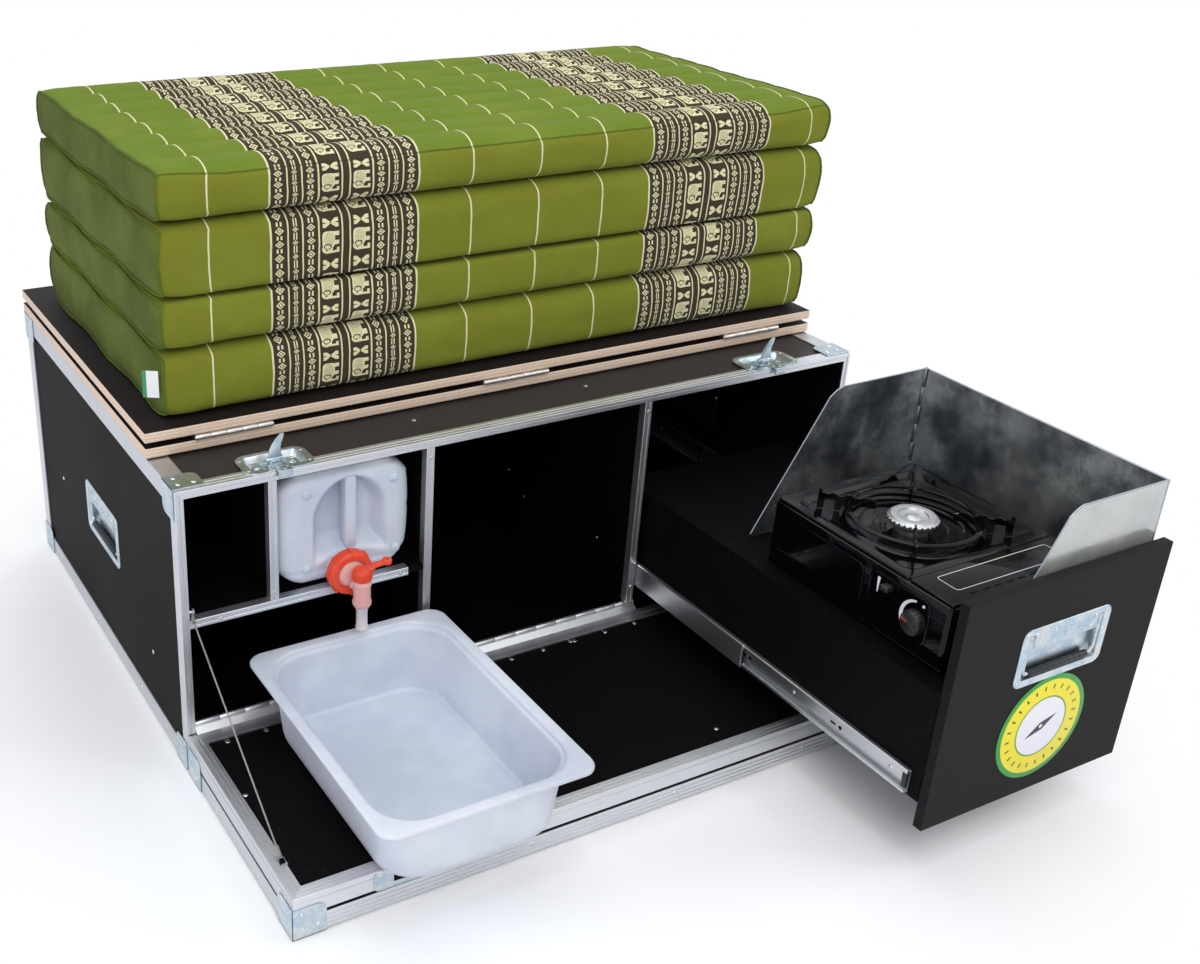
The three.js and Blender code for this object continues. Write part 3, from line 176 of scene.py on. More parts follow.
class Solid:
    """One piece being shaped in a bmesh, in local millimetres."""

    def __init__(self) -> None:
        """Starts an empty mesh."""
        self.bm = bmesh.new()

    @contextmanager
    def at(self, place: Optional[Matrix] = None, slot: Optional[int] = None) -> Iterator[None]:
        """Places and dresses what is made inside the block.

        Args:
            place: Where it goes, from the frame that it is made in.
            slot: Material slot of its faces.

        Yields:
            Nothing.
        """
        verts, faces = set(self.bm.verts), set(self.bm.faces)
        yield
        if place is not None:
            made = [v for v in self.bm.verts if v not in verts]
            bmesh.ops.transform(self.bm, matrix=place, verts=made)
        if slot is not None:
            for face in self.bm.faces:
                if face not in faces:
                    face.material_index = slot

    def _soften(self, edges: Iterable, width: float, steps: int) -> None:
        """Bevels edges with round steps."""
        bmesh.ops.bevel(self.bm, geom=list(edges), offset=width, offset_type="OFFSET", segments=steps,
                        profile=0.5, affect="EDGES", clamp_overlap=True, material=-1)

    def box(self, lo: Point, hi: Point, bevel: float = 0.0, steps: int = 2, slot: int = 0) -> None:
        """Adds a block between two corners.

        Args:
            lo: Lowest corner.
            hi: Highest corner.
            bevel: Width of its rounded edges.
            steps: Segments in each rounded edge.
            slot: Material slot.
        """
        size = [hi[k] - lo[k] for k in range(3)]
        middle = Vector([(hi[k] + lo[k]) / 2 for k in range(3)])
        place = Matrix.Translation(middle) @ Matrix.Diagonal((*size, 1.0))
        with self.at(slot=slot):
            made = bmesh.ops.create_cube(self.bm, size=1.0, matrix=place)
            if bevel:
                self._soften({e for v in made["verts"] for e in v.link_edges}, bevel, steps)

    def grid(self, lo: Point, hi: Point, cuts: Sequence[int]) -> None:
        """Adds a block cut into a dense grid, as the only shape of the piece so far.

        Args:
            lo: Lowest corner.
            hi: Highest corner.
            cuts: Cuts across each axis.
        """
        self.box(lo, hi)
        for axis, count in enumerate(cuts):
            edges = [e for e in self.bm.edges if abs((e.verts[0].co - e.verts[1].co)[axis]) > 1.0]
            bmesh.ops.subdivide_edges(self.bm, edges=edges, cuts=count, use_grid_fill=False)

    def rod(self, start: Point, end: Point, radius: float, tip: Optional[float] = None, sides: int = 20,
            bevel: float = 0.0, slot: int = 0) -> None:
        """Adds a round bar between two points.

        Args:
            start: Centre of one end.
            end: Centre of the other end.
            radius: Radius at the start.
            tip: Radius at the end, the same if left out.
            sides: Faces round it.
            bevel: Width of the rounded end edges.
            slot: Material slot.
        """
        a, b = Vector(start), Vector(end)
        run = b - a
        place = Matrix.Translation((a + b) / 2) @ run.to_track_quat("Z", "Y").to_matrix().to_4x4()
        with self.at(slot=slot):
            made = bmesh.ops.create_cone(self.bm, cap_ends=True, cap_tris=False, segments=sides, radius1=radius,
                                         radius2=radius if tip is None else tip, depth=run.length, matrix=place)
            if bevel:
                caps = {f for v in made["verts"] for f in v.link_faces if len(f.verts) == sides}
                self._soften({e for f in caps for e in f.edges}, bevel, 2)

    def _extrude(self, faces: Iterable, shift: Point) -> list:
        """Extrudes faces by a vector.

        Args:
            faces: The faces to extrude.
            shift: How far they go.

        Returns:
            The new faces at the far end.
        """
        made = bmesh.ops.extrude_face_region(self.bm, geom=list(faces))["geom"]
        verts = [g for g in made if isinstance(g, bmesh.types.BMVert)]
        bmesh.ops.translate(self.bm, vec=Vector(shift), verts=verts)
        return [g for g in made if isinstance(g, bmesh.types.BMFace)]

    def prism(self, outline: Iterable[Point], axis: Axis, start: float, stop: float, bevel: float = 0.0,
              steps: int = 2, slot: int = 0) -> None:
        """Extrudes an outline along an axis.

        Args:
            outline: Points in the other two axes, in their order.
            axis: The axis that it runs along.
            start: Where it starts.
            stop: Where it stops.
            bevel: Width of the rounded edges at both ends.
            steps: Segments in each rounded edge.
            slot: Material slot.
        """
        shift = [0.0, 0.0, 0.0]
        shift[axis.value] = stop - start
        with self.at(slot=slot):
            ring = []
            for u, v in outline:
                point = [u, v]
                point.insert(axis.value, start)
                ring.append(self.bm.verts.new(point))
            low = self.bm.faces.new(ring)
            high = self._extrude([low], shift)
            if bevel:
                self._soften({e for f in (low, *high) if f.is_valid for e in f.edges}, bevel, steps)

    def lathe(self, profile: Sequence[Point], centre: Point, axis: Axis = Axis.Z, steps: int = 32,
              slot: int = 0) -> None:
        """Spins a profile round an axis.

        Args:
            profile: Points as radius and height along the axis.
            centre: Where radius and height are zero.
            axis: The axis of the spin.
            steps: Segments round it.
            slot: Material slot.
        """
        line = Vector([1.0 if k == axis.value else 0.0 for k in range(3)])
        side = Vector((0.0, 1.0, 0.0)) if axis is Axis.X else Vector((1.0, 0.0, 0.0))
        before = set(self.bm.verts)
        with self.at(slot=slot):
            verts = [self.bm.verts.new(Vector(centre) + side * r + line * h) for r, h in profile]
            edges = [self.bm.edges.new(pair) for pair in zip(verts, verts[1:])]
            bmesh.ops.spin(self.bm, geom=verts + edges, cent=Vector(centre), axis=line, dvec=(0, 0, 0),
                           angle=math.tau, steps=steps, use_merge=True, use_duplicate=False)
            bmesh.ops.remove_doubles(self.bm, verts=[v for v in self.bm.verts if v not in before], dist=1e-4)

    def sweep(self, path: Sequence[Point], radius: Union[float, Sequence[float]], sides: int = 8,
              squash: float = 1.0, slot: int = 0) -> None:
        """Runs a round section along a path by extruding its end again and again.

        Args:
            path: Points that its middle follows.
            radius: One radius, or one for each point.
            sides: Faces round it.
            squash: Thickness as a share of the width.
            slot: Material slot.
        """
        points = [Vector(p) for p in path]
        radii = [radius] * len(points) if isinstance(radius, (int, float)) else list(radius)
        rings, side = [], Vector((0.577, 0.577, 0.577))
        for i, point in enumerate(points):
            along = (points[min(i + 1, len(points) - 1)] - points[max(i - 1, 0)]).normalized()
            if i == 0:
                side = along.cross(Vector((0.0, 0.0, 1.0)) if abs(along.z) < 0.9 else Vector((0.0, 1.0, 0.0)))
            side = (side - along * side.dot(along)).normalized()
            over = side.cross(along)
            rings.append([point + (side * math.cos(a) + over * math.sin(a) * squash) * radii[i]
                          for a in (math.tau * k / sides for k in range(sides))])
        with self.at(slot=slot):
            face = self.bm.faces.new([self.bm.verts.new(p) for p in rings[0]])
            for before, after in zip(rings, rings[1:]):
                made = bmesh.ops.extrude_face_region(self.bm, geom=[face])["geom"]
                face = next(g for g in made if isinstance(g, bmesh.types.BMFace))
                for vert in face.verts:
                    nearest = min(range(sides), key=lambda k: (vert.co - before[k]).length_squared)
                    vert.co = after[nearest]

    def loft(self, rings: Sequence[Sequence[Point]], closed: bool = False, slot: int = 0) -> None:
        """Bridges rings that have the same number of points.

        Args:
            rings: The rings in order.
            closed: Whether the last ring meets the first, instead of both being filled.
            slot: Material slot.
        """
        with self.at(slot=slot):
            first = loop = [self.bm.verts.new(p) for p in rings[0]]
            edges = [self.bm.edges.new((a, b)) for a, b in zip(loop, loop[1:] + loop[:1])]
            for ring in [*rings[1:], *([rings[0]] if closed else [])]:
                made = bmesh.ops.extrude_edge_only(self.bm, edges=edges)["geom"]
                fresh = {g for g in made if isinstance(g, bmesh.types.BMVert)}
                edges = [g for g in made if isinstance(g, bmesh.types.BMEdge) and fresh.issuperset(g.verts)]
                loop = [next(e.other_vert(v) for e in v.link_edges if e.other_vert(v) in fresh) for v in loop]
                for vert, point in zip(loop, ring):
                    vert.co = point
            if closed:
                bmesh.ops.remove_doubles(self.bm, verts=first + loop, dist=1e-5)
            else:
                self.bm.faces.new(first)
                self.bm.faces.new(loop)

    def cut(self, point: Point, beyond: Point) -> None:
        """Cuts off what lies beyond a plane and closes the cut.

        Args:
            point: A point of the plane.
            beyond: Direction of the side that goes.
        """
        geom = [*self.bm.verts, *self.bm.edges, *self.bm.faces]
        made = bmesh.ops.bisect_plane(self.bm, geom=geom, plane_co=point, plane_no=beyond, clear_outer=True)
        edges = [g for g in made["geom_cut"] if isinstance(g, bmesh.types.BMEdge)]
        if edges:
            bmesh.ops.holes_fill(self.bm, edges=edges, sides=0)

    def dome(self, centre: Point, normal: Point, radius: float = 4.0, height: float = 1.6, sides: int = 10,
             slot: int = 0) -> None:
        """Adds a round rivet or screw head.

        Args:
            centre: Middle of its foot.
            normal: Direction that it faces.
            radius: Radius of the foot.
            height: Height of the head.
            sides: Faces round it.
            slot: Material slot.
        """
        turn = Vector(normal).to_track_quat("Z", "Y").to_matrix().to_4x4()
        place = Matrix.Translation(Vector(centre)) @ turn @ Matrix.Diagonal((radius, radius, height, 1.0))
        with self.at(slot=slot):
            bmesh.ops.create_uvsphere(self.bm, u_segments=sides, v_segments=6, radius=1.0, matrix=place)

    def domes(self, seats: Iterable[Point], normal: Point, radius: float, height: float, sides: int = 10,
              slot: int = 0) -> None:
        """Adds the same head in several places."""
        for seat in seats:
            self.dome(seat, normal, radius, height, sides, slot)

    def piece(self, name: str, body: str, finishes: Sequence["Finish"], replaces: Sequence[str] = (),
              slot: Optional[str] = None, angle: float = 32.0) -> bpy.types.Object:
        """Makes the object, in metres in the CAD frame, and lets it ride its body.

        Args:
            name: Name of the piece.
            body: CAD body that it moves with.
            finishes: Finishes of its material slots.
            replaces: CAD nodes that it stands for.
            slot: Record slot of its main finish; not used.
            angle: Edges sharper than this many degrees stay sharp.

        Returns:
            The object.
        """
        bmesh.ops.transform(self.bm, matrix=Matrix.Scale(SCALE, 4) @ Matrix.Translation(-ORIGIN),
                            verts=self.bm.verts)
        bmesh.ops.recalc_face_normals(self.bm, faces=self.bm.faces)
        for face in self.bm.faces:
            face.smooth = True
        for edge in self.bm.edges:
            edge.smooth = len(edge.link_faces) == 2 and edge.calc_face_angle() < math.radians(angle)
        mesh = bpy.data.meshes.new(name)
        self.bm.to_mesh(mesh)
        self.bm.free()
        for finish in finishes:
            mesh.materials.append(finish.material())
        made = add(name, mesh)
        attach(made, body)
        if replaces:
            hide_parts(*replaces)
        log.info("built %s on %s with %d faces", name, body, len(mesh.polygons))
        return made


def facing(right: Point, up: Point, centre: Point) -> Matrix:
    """Frame of a fitting that faces outwards.

    Args:
        right: Direction of its first axis.
        up: Direction of its second axis.
        centre: Where its zero goes.

    Returns:
        The matrix that places it.
    """
    a, b = Vector(right), Vector(up)
    turn = Matrix((a, b, a.cross(b))).transposed().to_4x4()
    return spot(*centre) @ turn


# Shading


class Val:
    """A shader value with arithmetic operators, each of which adds a node."""

    def __init__(self, graph: "Graph", socket: Union[bpy.types.NodeSocket, float]) -> None:
        """Wraps a socket of a graph."""
        self.graph = graph
        self.socket = socket

    def _math(self, kind: str, *others: Union["Val", float]) -> "Val":
        """Adds a Math node on this value and others."""
        inputs = dict(enumerate((self, *others)))
        return self.graph.node("ShaderNodeMath", {"operation": kind}, inputs)[0]

    def __add__(self, other: Union["Val", float]) -> "Val":
        """Sum."""
        return self._math("ADD", other)

    __radd__ = __add__

    def __sub__(self, other: Union["Val", float]) -> "Val":
        """Difference."""
        return self._math("SUBTRACT", other)

    def __mul__(self, other: Union["Val", float]) -> "Val":
        """Product."""
        return self._math("MULTIPLY", other)

    def __truediv__(self, other: Union["Val", float]) -> "Val":
        """Quotient."""
        return self._math("DIVIDE", other)

    def __pow__(self, other: Union["Val", float]) -> "Val":
        """Power."""
        return self._math("POWER", other)

    def __abs__(self) -> "Val":
        """Size without its sign."""
        return self._math("ABSOLUTE")

    def __mod__(self, other: float) -> "Val":
        """Remainder that is never below zero."""
        return self._math("FLOORED_MODULO", other)

    def __lt__(self, other: Union["Val", float]) -> "Val":
        """One where it is smaller, otherwise zero."""
        return self._math("LESS_THAN", other)

    def __gt__(self, other: Union["Val", float]) -> "Val":
        """One where it is greater, otherwise zero."""
        return self._math("GREATER_THAN", other)

    def __and__(self, other: "Val") -> "Val":
        """Smaller of two masks."""
        return self._math("MINIMUM", other)

    def __or__(self, other: "Val") -> "Val":
        """Greater of two masks."""
        return self._math("MAXIMUM", other)

    def sin(self) -> "Val":
        """Sine."""
        return self._math("SINE")

    def root(self) -> "Val":
        """Square root."""
        return self._math("SQRT")

    def span(self, low: float, high: float, out_low: float = 0.0, out_high: float = 1.0) -> "Val":
        """Maps a range smoothly onto another.

        Args:
            low: Value that gives out_low.
            high: Value that gives out_high.
            out_low: Result at low.
            out_high: Result at high.

        Returns:
            The mapped value.
        """
        inputs = {0: self, 1: low, 2: high, 3: out_low, 4: out_high}
        return self.graph.node("ShaderNodeMapRange", {"interpolation_type": "SMOOTHSTEP"}, inputs)[0]


class Graph:
    """Node tree of one material."""

    def __init__(self, name: str) -> None:
        """Starts a material with an empty shader.

        Args:
            name: Name of the material.
        """
        self.made = bpy.data.materials.new(name)
        self.made.use_nodes = True
        self.tree = self.made.node_tree
        self.tree.nodes.clear()
        self.shader = self.tree.nodes.new("ShaderNodeBsdfPrincipled")
        self.output = self.tree.nodes.new("ShaderNodeOutputMaterial")
        self.tree.links.new(self.shader.outputs[0], self.output.inputs[0])

    def join(self, socket: bpy.types.NodeSocket, value: object) -> None:
        """Links a value to a socket or writes a number into it.

        Args:
            socket: The input.
            value: A Val, number or tuple.
        """
        if isinstance(value, Val):
            value = value.socket
        if isinstance(value, bpy.types.NodeSocket):
            self.tree.links.new(value, socket)
        elif socket.type == "RGBA" and len(value) == 3:
            socket.default_value = (*value, 1.0)
        else:
            socket.default_value = value

    def node(self, kind: str, settings: dict[str, object], inputs: dict[Union[int, str], object]) -> list[Val]:
        """Adds a node.

        Args:
            kind: Node type.
            settings: Properties, set before the inputs.
            inputs: Socket name or number and its value.

        Returns:
            Its outputs.
        """
        made = self.tree.nodes.new(kind)
        for name, value in settings.items():
            setattr(made, name, value)
        for name, value in inputs.items():
            self.join(made.inputs[name], value)
        return [Val(self, socket) for socket in made.outputs]

    def place(self) -> Val:
        """Object coordinates, in metres in the CAD frame."""
        return self.node("ShaderNodeTexCoord", {}, {})[3]

    def cloth(self) -> Val:
        """The unrolled cloth map, in metres."""
        return self.node("ShaderNodeUVMap", {"uv_map": Mattress.MAP}, {})[0]

    def parts(self, vector: Val) -> list[Val]:
        """The three numbers of a vector."""
        return self.node("ShaderNodeSeparateXYZ", {}, {0: vector})

    def stretch(self, vector: Val, scale: Point) -> Val:
        """A vector times another, part by part."""
        return self.node("ShaderNodeVectorMath", {"operation": "MULTIPLY"}, {0: vector, 1: tuple(scale)})[0]

    def noise(self, vector: Val, scale: float, detail: float = 2.0, rough: float = 0.5) -> Val:
        """Soft noise from zero to one.

        Args:
            vector: Where it is read.
            scale: Waves in each metre.
            detail: Finer layers.
            rough: Share of the finer layers.

        Returns:
            The noise.
        """
        inputs = {"Vector": vector, "Scale": scale, "Detail": detail, "Roughness": rough}
        return self.node("ShaderNodeTexNoise", {}, inputs)[0]

    def cells(self, vector: Val, scale: float) -> Val:
        """A random number for each cell of a Voronoi pattern."""
        out = self.node("ShaderNodeTexVoronoi", {}, {"Vector": vector, "Scale": scale})[1]
        return self.parts(out)[0]

    def mix(self, factor: Union[Val, float], a: object, b: object) -> Val:
        """A colour between two others.

        Args:
            factor: Share of the second colour.
            a: First colour.
            b: Second colour.

        Returns:
            The mixed colour.
        """
        return self.node("ShaderNodeMix", {"data_type": "RGBA"}, {0: factor, 6: a, 7: b})[2]

    def bump(self, height: Val, distance: float, strength: float = 1.0) -> None:
        """Feeds the normal from a height.

        Args:
            height: The height, from zero to one.
            distance: How far one is, in metres.
            strength: Share of the effect.
        """
        inputs = {"Height": height, "Distance": distance, "Strength": strength}
        self.join(self.shader.inputs["Normal"], self.node("ShaderNodeBump", {}, inputs)[0])

    def surface(self, **inputs: object) -> None:
        """Sets the shader's inputs, with _ for each space in their names."""
        for name, value in inputs.items():
            self.join(self.shader.inputs[name.replace("_", " ")], value)


@dataclass(frozen=True)
class Finish:
    """A named surface finish."""

    name: str

    def shade(self, g: Graph) -> None:
        """Builds the node tree, in each kind of finish."""
        raise NotImplementedError

    def material(self) -> bpy.types.Material:
        """Makes the material on its first use.

        Returns:
            The material.
        """
        found = bpy.data.materials.get(f"look_{self.name}")
        if found is None:
            graph = Graph(f"look_{self.name}")
            self.shade(graph)
            found = graph.made
        return found


@dataclass(frozen=True)
class FilmPly(Finish):
    """Dark phenolic film on plywood, with a faint grain and dust."""

    tone: Colour = paint("2a2725")
    sheen: float = 0.4
    gloss: float = 0.3

    def shade(self, g: Graph) -> None:
        """Builds the node tree.

        Args:
            g: Graph of the material.
        """
        place = g.place()
        grain = g.noise(g.stretch(place, (6.0, 6.0, 60.0)), 12.0, 4.0, 0.6)
        mesh = g.noise(place, 900.0, 1.0)
        cloud = g.noise(place, 4.0, 3.0)
        dust = g.noise(place, 420.0, 1.0).span(0.74, 0.8)
        dark = toned(self.tone, 0.72)
        light = toned(self.tone, 1.3)
        base = g.mix(grain * 0.5 + cloud * 0.5, dark, light)
        base = g.mix(dust * 0.25, base, paint("8c8780"))
        g.surface(Base_Color=base, Roughness=self.sheen + cloud * 0.16 + mesh * 0.05, Specular_IOR_Level=self.gloss)
        g.bump(grain * 0.5 + mesh * 0.5, 0.00018, 0.55)


@dataclass(frozen=True)
class Brushed(Finish):
    """Drawn or brushed metal, streaked along one axis."""

    tone: Colour = paint("dcdee0")
    along: Axis = Axis.X
    rough: float = 0.3
    worn: float = 0.12

    def shade(self, g: Graph) -> None:
        """Builds the node tree.

        Args:
            g: Graph of the material.
        """
        place = g.place()
        scale = [400.0, 400.0, 400.0]
        scale[self.along.value] = 5.0
        streak = g.noise(g.stretch(place, scale), 3.0, 3.0, 0.7)
        cloud = g.noise(place, 14.0, 4.0, 0.6)
        smear = g.noise(place, 60.0, 3.0, 0.6)
        dull = toned(self.tone, 0.7)
        base = g.mix(streak * 0.55 + cloud * 0.45, dull, self.tone)
        base = g.mix(smear.span(0.6, 0.85) * self.worn, base, paint("8f8d88"))
        g.surface(Base_Color=base, Metallic=1.0, Roughness=self.rough + streak * 0.14 + cloud * 0.1)
        g.bump(streak, 0.00012, 0.4)


@dataclass(frozen=True)
class Zinc(Finish):
    """Bluish zinc plate on pressed steel, with small spangles and rubbed spots."""

    cool: Colour = paint("b8cdda")
    warm: Colour = paint("d8dcde")
    rough: float = 0.24

    def shade(self, g: Graph) -> None:
        """Builds the node tree.

        Args:
            g: Graph of the material.
        """
        place = g.place()
        spangle = g.cells(place, 210.0)
        cloud = g.noise(place, 45.0, 4.0, 0.6)
        rub = g.noise(place, 170.0, 3.0, 0.7)
        base = g.mix(cloud.span(0.35, 0.65), self.cool, self.warm)
        base = g.mix(spangle * 0.25, base, paint("8ba4b0"))
        base = g.mix(rub.span(0.6, 0.8) * 0.35, base, paint("8b8f8a"))
        g.surface(Base_Color=base, Metallic=1.0, Roughness=self.rough + spangle * 0.08 + rub * 0.14)
        g.bump(cloud * 0.7 + rub * 0.3, 0.0004, 0.5)


@dataclass(frozen=True)
class Rubber(Finish):
    """Black moulded rubber or plastic with a fine grain."""

    tone: Colour = paint("1d1f26")
    rough: float = 0.42

    def shade(self, g: Graph) -> None:
        """Builds the node tree.

        Args:
            g: Graph of the material.
        """
        place = g.place()
        grain = g.noise(place, 1400.0, 2.0)
        cloud = g.noise(place, 40.0, 3.0)
        base = g.mix(cloud, toned(self.tone, 0.7), toned(self.tone, 1.4))
        g.surface(Base_Color=base, Roughness=self.rough + grain * 0.12)
        g.bump(grain, 0.0002, 0.5)


@dataclass(frozen=True)
class BirchEdge(Finish):
    """Cut edge of birch plywood: pale plies, thin dark glue lines and end grain."""

    low: float = 0.4623
    ply: float = 0.0025

    def shade(self, g: Graph) -> None:
        """Builds the node tree.

        Args:
            g: Graph of the material.
        """
        place = g.place()
        z = g.parts(place)[2]
        wander = g.noise(place, 9.0, 2.0) * 0.0006
        layer = ((z - self.low + wander) / self.ply) % 2.0
        glue = abs(((z - self.low + wander) / self.ply) % 1.0 - 0.5).span(0.4, 0.5)
        cross = layer < 1.0
        fibre = g.noise(g.stretch(place, (8.0, 8.0, 500.0)), 6.0, 4.0, 0.7)
        pores = g.noise(g.stretch(place, (260.0, 260.0, 900.0)), 3.0, 2.0, 0.6)
        cloud = g.noise(place, 5.0, 3.0)
        long = g.mix(fibre, paint("f0dcc8"), paint("dcc2ab"))
        end = g.mix(pores.span(0.35, 0.7), paint("e6cdb6"), paint("b89878"))
        base = g.mix(cross * 0.75, long, end)
        base = g.mix(glue * 0.5, base, paint("5f4535"))
        base = g.mix(cloud.span(0.5, 0.75) * 0.25, base, paint("e9cbbf"))
        g.surface(Base_Color=base, Roughness=0.62 + fibre * 0.15, Specular_IOR_Level=0.3)
        g.bump(fibre * 0.5 + pores * 0.5, 0.0004, 0.6)


@dataclass(frozen=True)
class Moulded(Finish):
    """Moulded plastic, a little milky where it is thin."""

    tone: Colour = paint("e0e4ec")
    shadow: Colour = paint("c8cedb")
    rough: float = 0.3
    inside: float = 0.12

    def shade(self, g: Graph) -> None:
        """Builds the node tree.

        Args:
            g: Graph of the material.
        """
        place = g.place()
        cloud = g.noise(place, 7.0, 3.0, 0.55)
        orange = g.noise(place, 380.0, 2.0)
        scuff = g.noise(g.stretch(place, (30.0, 90.0, 60.0)), 6.0, 4.0, 0.7)
        base = g.mix(cloud.span(0.3, 0.7), self.shadow, self.tone)
        base = g.mix(scuff.span(0.62, 0.8) * 0.18, base, toned(self.shadow, 0.8))
        g.surface(Base_Color=base, Roughness=self.rough + cloud * 0.1 + scuff.span(0.6, 0.8) * 0.18,
                  Subsurface_Weight=self.inside, Subsurface_Scale=0.02)
        g.bump(orange * 0.6 + cloud * 0.4, 0.0003, 0.4)


@dataclass(frozen=True)
class Enamel(Finish):
    """Glossy black enamel with an orange peel and fine dust."""

    tone: Colour = paint("060608")
    rough: float = 0.04

    def shade(self, g: Graph) -> None:
        """Builds the node tree.

        Args:
            g: Graph of the material.
        """
        place = g.place()
        peel = g.noise(place, 160.0, 2.0)
        cloud = g.noise(place, 20.0, 3.0)
        dust = g.noise(place, 700.0, 1.0).span(0.7, 0.78)
        base = g.mix(dust * 0.12, self.tone, paint("77777c"))
        g.surface(Base_Color=base, Roughness=self.rough + cloud * 0.06 + dust * 0.2, Coat_Weight=0.3 + cloud * 0.1,
                  Coat_Roughness=0.03, Specular_IOR_Level=0.04)
        g.bump(peel, 0.0001, 0.2)


@dataclass(frozen=True)
class Aluminised(Finish):
    """Mottled aluminised sheet with darker blotches, smears and bright spots."""

    bright: Colour = paint("d6dadc")
    dark_mottle: Colour = paint("697179")
    metal: float = 0.85

    def shade(self, g: Graph) -> None:
        """Builds the node tree.

        Args:
            g: Graph of the material.
        """
        place = g.place()
        blotch = g.noise(place, 17.0, 6.0, 0.62)
        fine = g.noise(place, 70.0, 5.0, 0.7)
        drift = g.noise(g.stretch(place, (1.0, 1.0, 0.5)), 6.0, 3.0, 0.6)
        smear = g.noise(g.stretch(place, (20.0, 20.0, 4.0)), 4.0, 4.0, 0.7)
        # Blotches between the bright tone and the darker mottle tone, with fine specks of the darker tone.
        base = g.mix((blotch * 0.5 + g.noise(place, 5.5, 3.0, 0.55) * 0.5).span(0.4, 0.62), self.dark_mottle, self.bright)
        base = g.mix(fine.span(0.52, 0.7) * 0.3, base, self.dark_mottle)
        base = g.mix(drift.span(0.5, 0.72) * 0.25, base, paint("8c8a84"))
        g.surface(Base_Color=base, Metallic=self.metal, Roughness=0.1 + blotch.span(0.4, 0.7) * 0.14 + smear * 0.1)
        g.bump(fine * 0.4 + drift * 0.6, 0.0012, 0.5)


@dataclass(frozen=True)
class Strand(Finish):
    """Stranded steel wire, with its strands winding round it and painted shade in the grooves between them."""

    def shade(self, g: Graph) -> None:
        """Builds the node tree.

        Args:
            g: Graph of the material.
        """
        place = g.place()
        x, y, z = g.parts(place)[:3]
        twist_and_groove_shade = ((z * 2.2 + y * 0.8 + x * 3.0) * 2600.0).sin()
        cloud = g.noise(place, 80.0, 3.0)
        # Dark between the strands and pale on them: painted shade of the grooves, where the bump also follows the
        # twist.
        base = g.mix(twist_and_groove_shade.span(-0.6, 0.8), paint("5b5a58"), paint("d8d6d2"))
        base = g.mix(cloud * 0.3, base, paint("9a958c"))
        g.surface(Base_Color=base, Metallic=1.0, Roughness=0.3 + cloud * 0.15)
        g.bump(twist_and_groove_shade, 0.0002, 0.7)


@dataclass(frozen=True)
class Badge(Finish):
    """Round sticker: green rim, yellow ring with plain ticks, white middle with a plain needle."""

    middle: Point = (0.0, 0.0, 0.0)
    radius: float = 83.0

    def shade(self, g: Graph) -> None:
        """Builds the node tree.

        Args:
            g: Graph of the material.
        """
        place = g.place()
        x, _, z = g.parts(place)[:3]
        u = x * (1 / SCALE) + (ORIGIN.x - self.middle[0])
        v = z * (1 / SCALE) + (ORIGIN.z - self.middle[2])
        far = (u * u + v * v).root() / self.radius
        turn = g.node("ShaderNodeMath", {"operation": "ARCTAN2"}, {0: v, 1: u})[0]
        tick = (abs((turn * (12.0 / math.pi)) % 1.0 - 0.5) < 0.09) & (abs(far - 0.765) < 0.045)
        slim = abs(u * 0.45 - v * 0.9) + abs(u * 0.9 + v * 0.45) * 0.22
        needle = (slim < 7.0) & ((abs(u) + abs(v)) > 4.0)
        paper = g.noise(place, 500.0, 2.0)
        base = g.mix(far < 0.905, paint("2f9a3c"), paint("f2e21c"))
        base = g.mix(tick, base, paint("2c5a22"))
        base = g.mix(far < 0.585, base, paint("5f9a34"))
        base = g.mix(far < 0.555, base, paint("ecebf2"))
        base = g.mix(needle & (far < 0.5), base, paint("262329"))
        base = g.mix(paper * 0.08, base, paint("8a8a80"))
        g.surface(Base_Color=base, Roughness=0.38 + paper * 0.08)
        g.bump(paper, 0.0001, 0.4)


